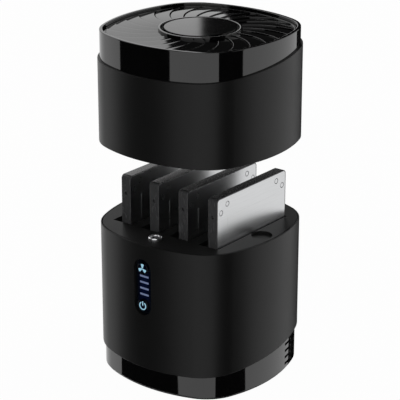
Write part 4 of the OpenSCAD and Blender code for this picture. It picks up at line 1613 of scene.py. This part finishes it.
    def screws(self) -> None:
        """Screw heads set out by a node tree on the places of the cover's holes."""
        name = f"drive_{self.number}_cover_screws"
        face = self.x + self.thickness / 2 - self.screw_sink
        places = mesh_from(name, [(face, y, z) for y, z in self.screw_places()], [])
        modifier = places.modifiers.new("screws", "NODES")
        modifier.node_group, keys = self.screw_tree()
        modifier[keys["Radius"]] = self.screw_radius * MM
        modifier[keys["Depth"]] = self.screw_depth * MM
        settle(places)
        self.hand_over(places, Finishes.COVER, self.body, Slot.STEEL, f"drive_{self.number}_screws")

    def screw_tree(self) -> tuple[bpy.types.NodeTree, dict[str, str]]:
        """Node tree that puts a screw on each point, its axis along X.

        Returns:
            The tree, and the identifier of each named input.
        """
        name = "cover_screws"
        tree = bpy.data.node_groups.get(name)
        if tree is None:
            tree = bpy.data.node_groups.new(name, "GeometryNodeTree")
            face = tree.interface
            face.new_socket("Geometry", in_out="INPUT", socket_type="NodeSocketGeometry")
            for label in ("Radius", "Depth"):
                face.new_socket(label, in_out="INPUT", socket_type="NodeSocketFloat")
            face.new_socket("Geometry", in_out="OUTPUT", socket_type="NodeSocketGeometry")
            sheet = NodeSheet(tree)
            entry = tree.nodes.new("NodeGroupInput")
            points, radius, depth = (Wire(sheet, entry.outputs[i]) for i in range(3))
            head = sheet.add("GeometryNodeMeshCylinder", None,
                             {"Vertices": self.screw_steps, "Radius": radius, "Depth": depth})
            sink = sheet.add("ShaderNodeCombineXYZ", None, {2: depth * -0.5})
            lowered = sheet.add("GeometryNodeTransform", None, {"Geometry": head, "Translation": sink})
            laid = sheet.add("GeometryNodeTransform", None,
                             {"Geometry": lowered, "Rotation": (0, math.pi / 2, 0)})
            copies = sheet.add("GeometryNodeInstanceOnPoints", None, {"Points": points, "Instance": laid})
            solid = sheet.add("GeometryNodeRealizeInstances", None, {"Geometry": copies})
            dressed = sheet.add("GeometryNodeSetMaterial", None,
                                {"Geometry": solid, "Material": Finishes.COVER.material()})
            out = tree.nodes.new("NodeGroupOutput")
            tree.links.new(dressed.socket, out.inputs[0])
        keys = {item.name: item.identifier for item in tree.interface.items_tree
                if item.item_type == "SOCKET" and item.in_out == "INPUT"}
        return tree, keys

    def build(self) -> None:
        """Makes the drive's visible pieces."""
        self.case()
        self.lid_plate()
        self.screws()


class InnerNodes:
    """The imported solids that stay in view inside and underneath, with their finishes."""

    KINDS: dict[Finish, tuple[str, ...]] = {
        Finishes.MOULDING: ("bottom_cover", "chassis", "bay_guide", "key_switches", "contact_cup",
                            "fan_tray", "fan_rotor", "contact_post", "fan_frame"),
        Finishes.RUBBER: ("rubber_feet", "fan_lead"),
        Finishes.GLOSS: ("sata_socket", "controller_chip", "dc_inlet"),
        Finishes.BOARD: ("backplane_board", "bridge_board", "front_board"),
        Finishes.STEEL: ("bottom_screws", "board_screws", "usb_port", "fan_shaft", "fan_screws"),
        Finishes.WINDING: ("fan_bearing", "fan_stator", "contact_tip"),
        Finishes.LIGHT: ("light_bars",),
    }

    def dress(self, nodes: dict[str, bpy.types.Object]) -> None:
        """Gives each remaining solid its finish.

        Args:
            nodes: the frame's objects by name.
        """
        finishes = {kind: finish for finish, kinds in self.KINDS.items() for kind in kinds}
        for name, node in nodes.items():
            kind = name.rstrip("0123456789").rstrip("_")
            finish = Finishes.BOARD if name.endswith("_board") else finishes.get(kind)
            if finish is None or node.hide_render:
                continue
            for slot in node.material_slots:
                slot.material = finish.material()
            LOG.info("%s: dressed as %s", name, finish.name)


@dataclass(frozen=True)
class ViewPoint:
    """The photograph's camera, in millimetres, degrees and pixels of a 400 by 400 picture."""

    azimuth: float = 38.01
    elevation: float = 19.93
    distance: float = 1028.4
    focal: float = 1661.4
    centre: Point2 = (200.41, 181.49)
    target_z: float = 121.0
    picture: float = 400.0
    sensor: float = 36.0
    clip: Point2 = (0.05, 20.0)

    def place(self) -> bpy.types.Object:
        """Makes the camera.

        Returns:
            The camera.
        """
        turn, rise = math.radians(self.azimuth), math.radians(self.elevation)
        right = Vector((math.cos(turn), math.sin(turn), 0))
        back = Vector((math.sin(turn) * math.cos(rise), -math.cos(turn) * math.cos(rise),
                       math.sin(rise)))
        up = back.cross(right)
        lens = bpy.data.cameras.new("photo_camera")
        lens.sensor_fit = "HORIZONTAL"
        lens.sensor_width = self.sensor
        lens.lens = self.focal / self.picture * self.sensor
        lens.shift_x = -(self.centre[0] - self.picture / 2) / self.picture
        lens.shift_y = (self.centre[1] - self.picture / 2) / self.picture
        lens.clip_start, lens.clip_end = self.clip
        camera = bpy.data.objects.new("photo_camera", lens)
        spot = Vector((0, 0, self.target_z * MM)) + back * (self.distance * MM)
        basis = Matrix((right, up, back)).transposed().to_4x4()
        camera.matrix_world = Matrix.Translation(spot) @ basis
        bpy.context.scene.collection.objects.link(camera)
        bpy.context.scene.camera = camera
        return camera


@dataclass
class Studio:
    """Pale floor and a plain studio of tall soft cards with dark gaps between them."""

    cards: tuple[Point2, ...] = ((128.0, 200.0), (-200.0, -152.5), (-104.5, -25.3), (19.9, 89.0))
    edge: float = 0.15
    bright: float = 1.2
    dark: float = 0.015
    card_top: Point2 = (0.74, 0.84)
    taper: float = 33.0
    taper_from: float = 0.29
    overhead: float = 1.0
    roof: Point2 = (0.9, 0.96)
    floor_half: float = 4000.0
    floor_drop: float = 0.02
    floor_grey: float = 0.9
    floor_white: float = 0.975

    def world(self) -> None:
        """World of upright cards with a soft light overhead, white where the camera sees it."""
        world = bpy.data.worlds.new("studio")
        world.use_nodes = True
        tree = world.node_tree
        tree.nodes.clear()
        sheet = NodeSheet(tree)
        look = sheet.add("ShaderNodeTexCoord", output="Generated")
        axes = sheet.add("ShaderNodeSeparateXYZ", None, {0: look})
        side, rise = axes.other(1), axes.other(2)
        angle = side.math("ARCTAN2", side, axes)
        soft = math.radians(self.edge)
        pinch = (0 - rise - self.taper_from).larger(0) * math.radians(self.taper)
        cards: list[Wire] = []
        for first, last in self.cards:
            start, stop = math.radians(first), math.radians(last)
            cards.append((angle - pinch).ramp(start - soft, start + soft)
                         - (angle + pinch).ramp(stop - soft, stop + soft))
        lit = sum(cards[1:], cards[0]) * (1 - rise.ramp(*self.card_top))
        level = lit * (self.bright - self.dark) + self.dark
        strength = level + (self.overhead - level) * rise.ramp(*self.roof)
        studio = sheet.add("ShaderNodeBackground", None, {"Strength": strength})
        white = sheet.add("ShaderNodeBackground", None, {"Color": (1, 1, 1, 1), "Strength": 1.0})
        path = sheet.add("ShaderNodeLightPath", output="Is Camera Ray")
        both = sheet.add("ShaderNodeMixShader", None, {0: path, 1: studio, 2: white})
        out = tree.nodes.new("ShaderNodeOutputWorld")
        tree.links.new(both.socket, out.inputs[0])
        bpy.context.scene.world = world

    def floor(self) -> None:
        """Pale floor that keeps the shadow and that mirror-like surfaces see through to the cards."""
        half, low, grey = self.floor_half, -self.floor_drop, self.floor_grey
        corners = [(-half, -half, low), (half, -half, low), (half, half, low), (-half, half, low)]
        piece = mesh_from("studio_floor", corners, [(0, 1, 2, 3)])
        pale = bpy.data.materials.new("pale_floor")
        pale.use_nodes = True
        tree = pale.node_tree
        tree.nodes.clear()
        sheet = NodeSheet(tree)
        matt = sheet.add("ShaderNodeBsdfDiffuse", None, {"Color": (grey, grey, grey, 1)})
        white = sheet.add("ShaderNodeEmission", None, {"Strength": 1.0})
        camera = sheet.add("ShaderNodeLightPath", output="Is Camera Ray")
        shown = sheet.add("ShaderNodeMixShader", None,
                          {0: camera * self.floor_white, 1: matt, 2: white})
        mirror = sheet.add("ShaderNodeLightPath", output="Is Glossy Ray")
        clear = sheet.add("ShaderNodeBsdfTransparent")
        both = sheet.add("ShaderNodeMixShader", None, {0: mirror, 1: shown, 2: clear})
        out = tree.nodes.new("ShaderNodeOutputMaterial")
        tree.links.new(both.socket, out.inputs[0])
        piece.data.materials.append(pale)

    def build(self) -> None:
        """Makes the world and the floor."""
        self.world()
        self.floor()
        bpy.context.scene.view_settings.view_transform = "Standard"


def main() -> None:
    """Builds the camera, the studio and every sub-assembly in order."""
    logging.basicConfig(level=logging.INFO, format="%(message)s")
    ViewPoint().place()
    Studio().build()
    Base(FrontPanel()).build()
    Lid().build()
    for number in range(1, Drive.bays + 1):
        Drive(number).build()
    InnerNodes().dress(frame["nodes"])


if __name__ == "__main__":
    main()
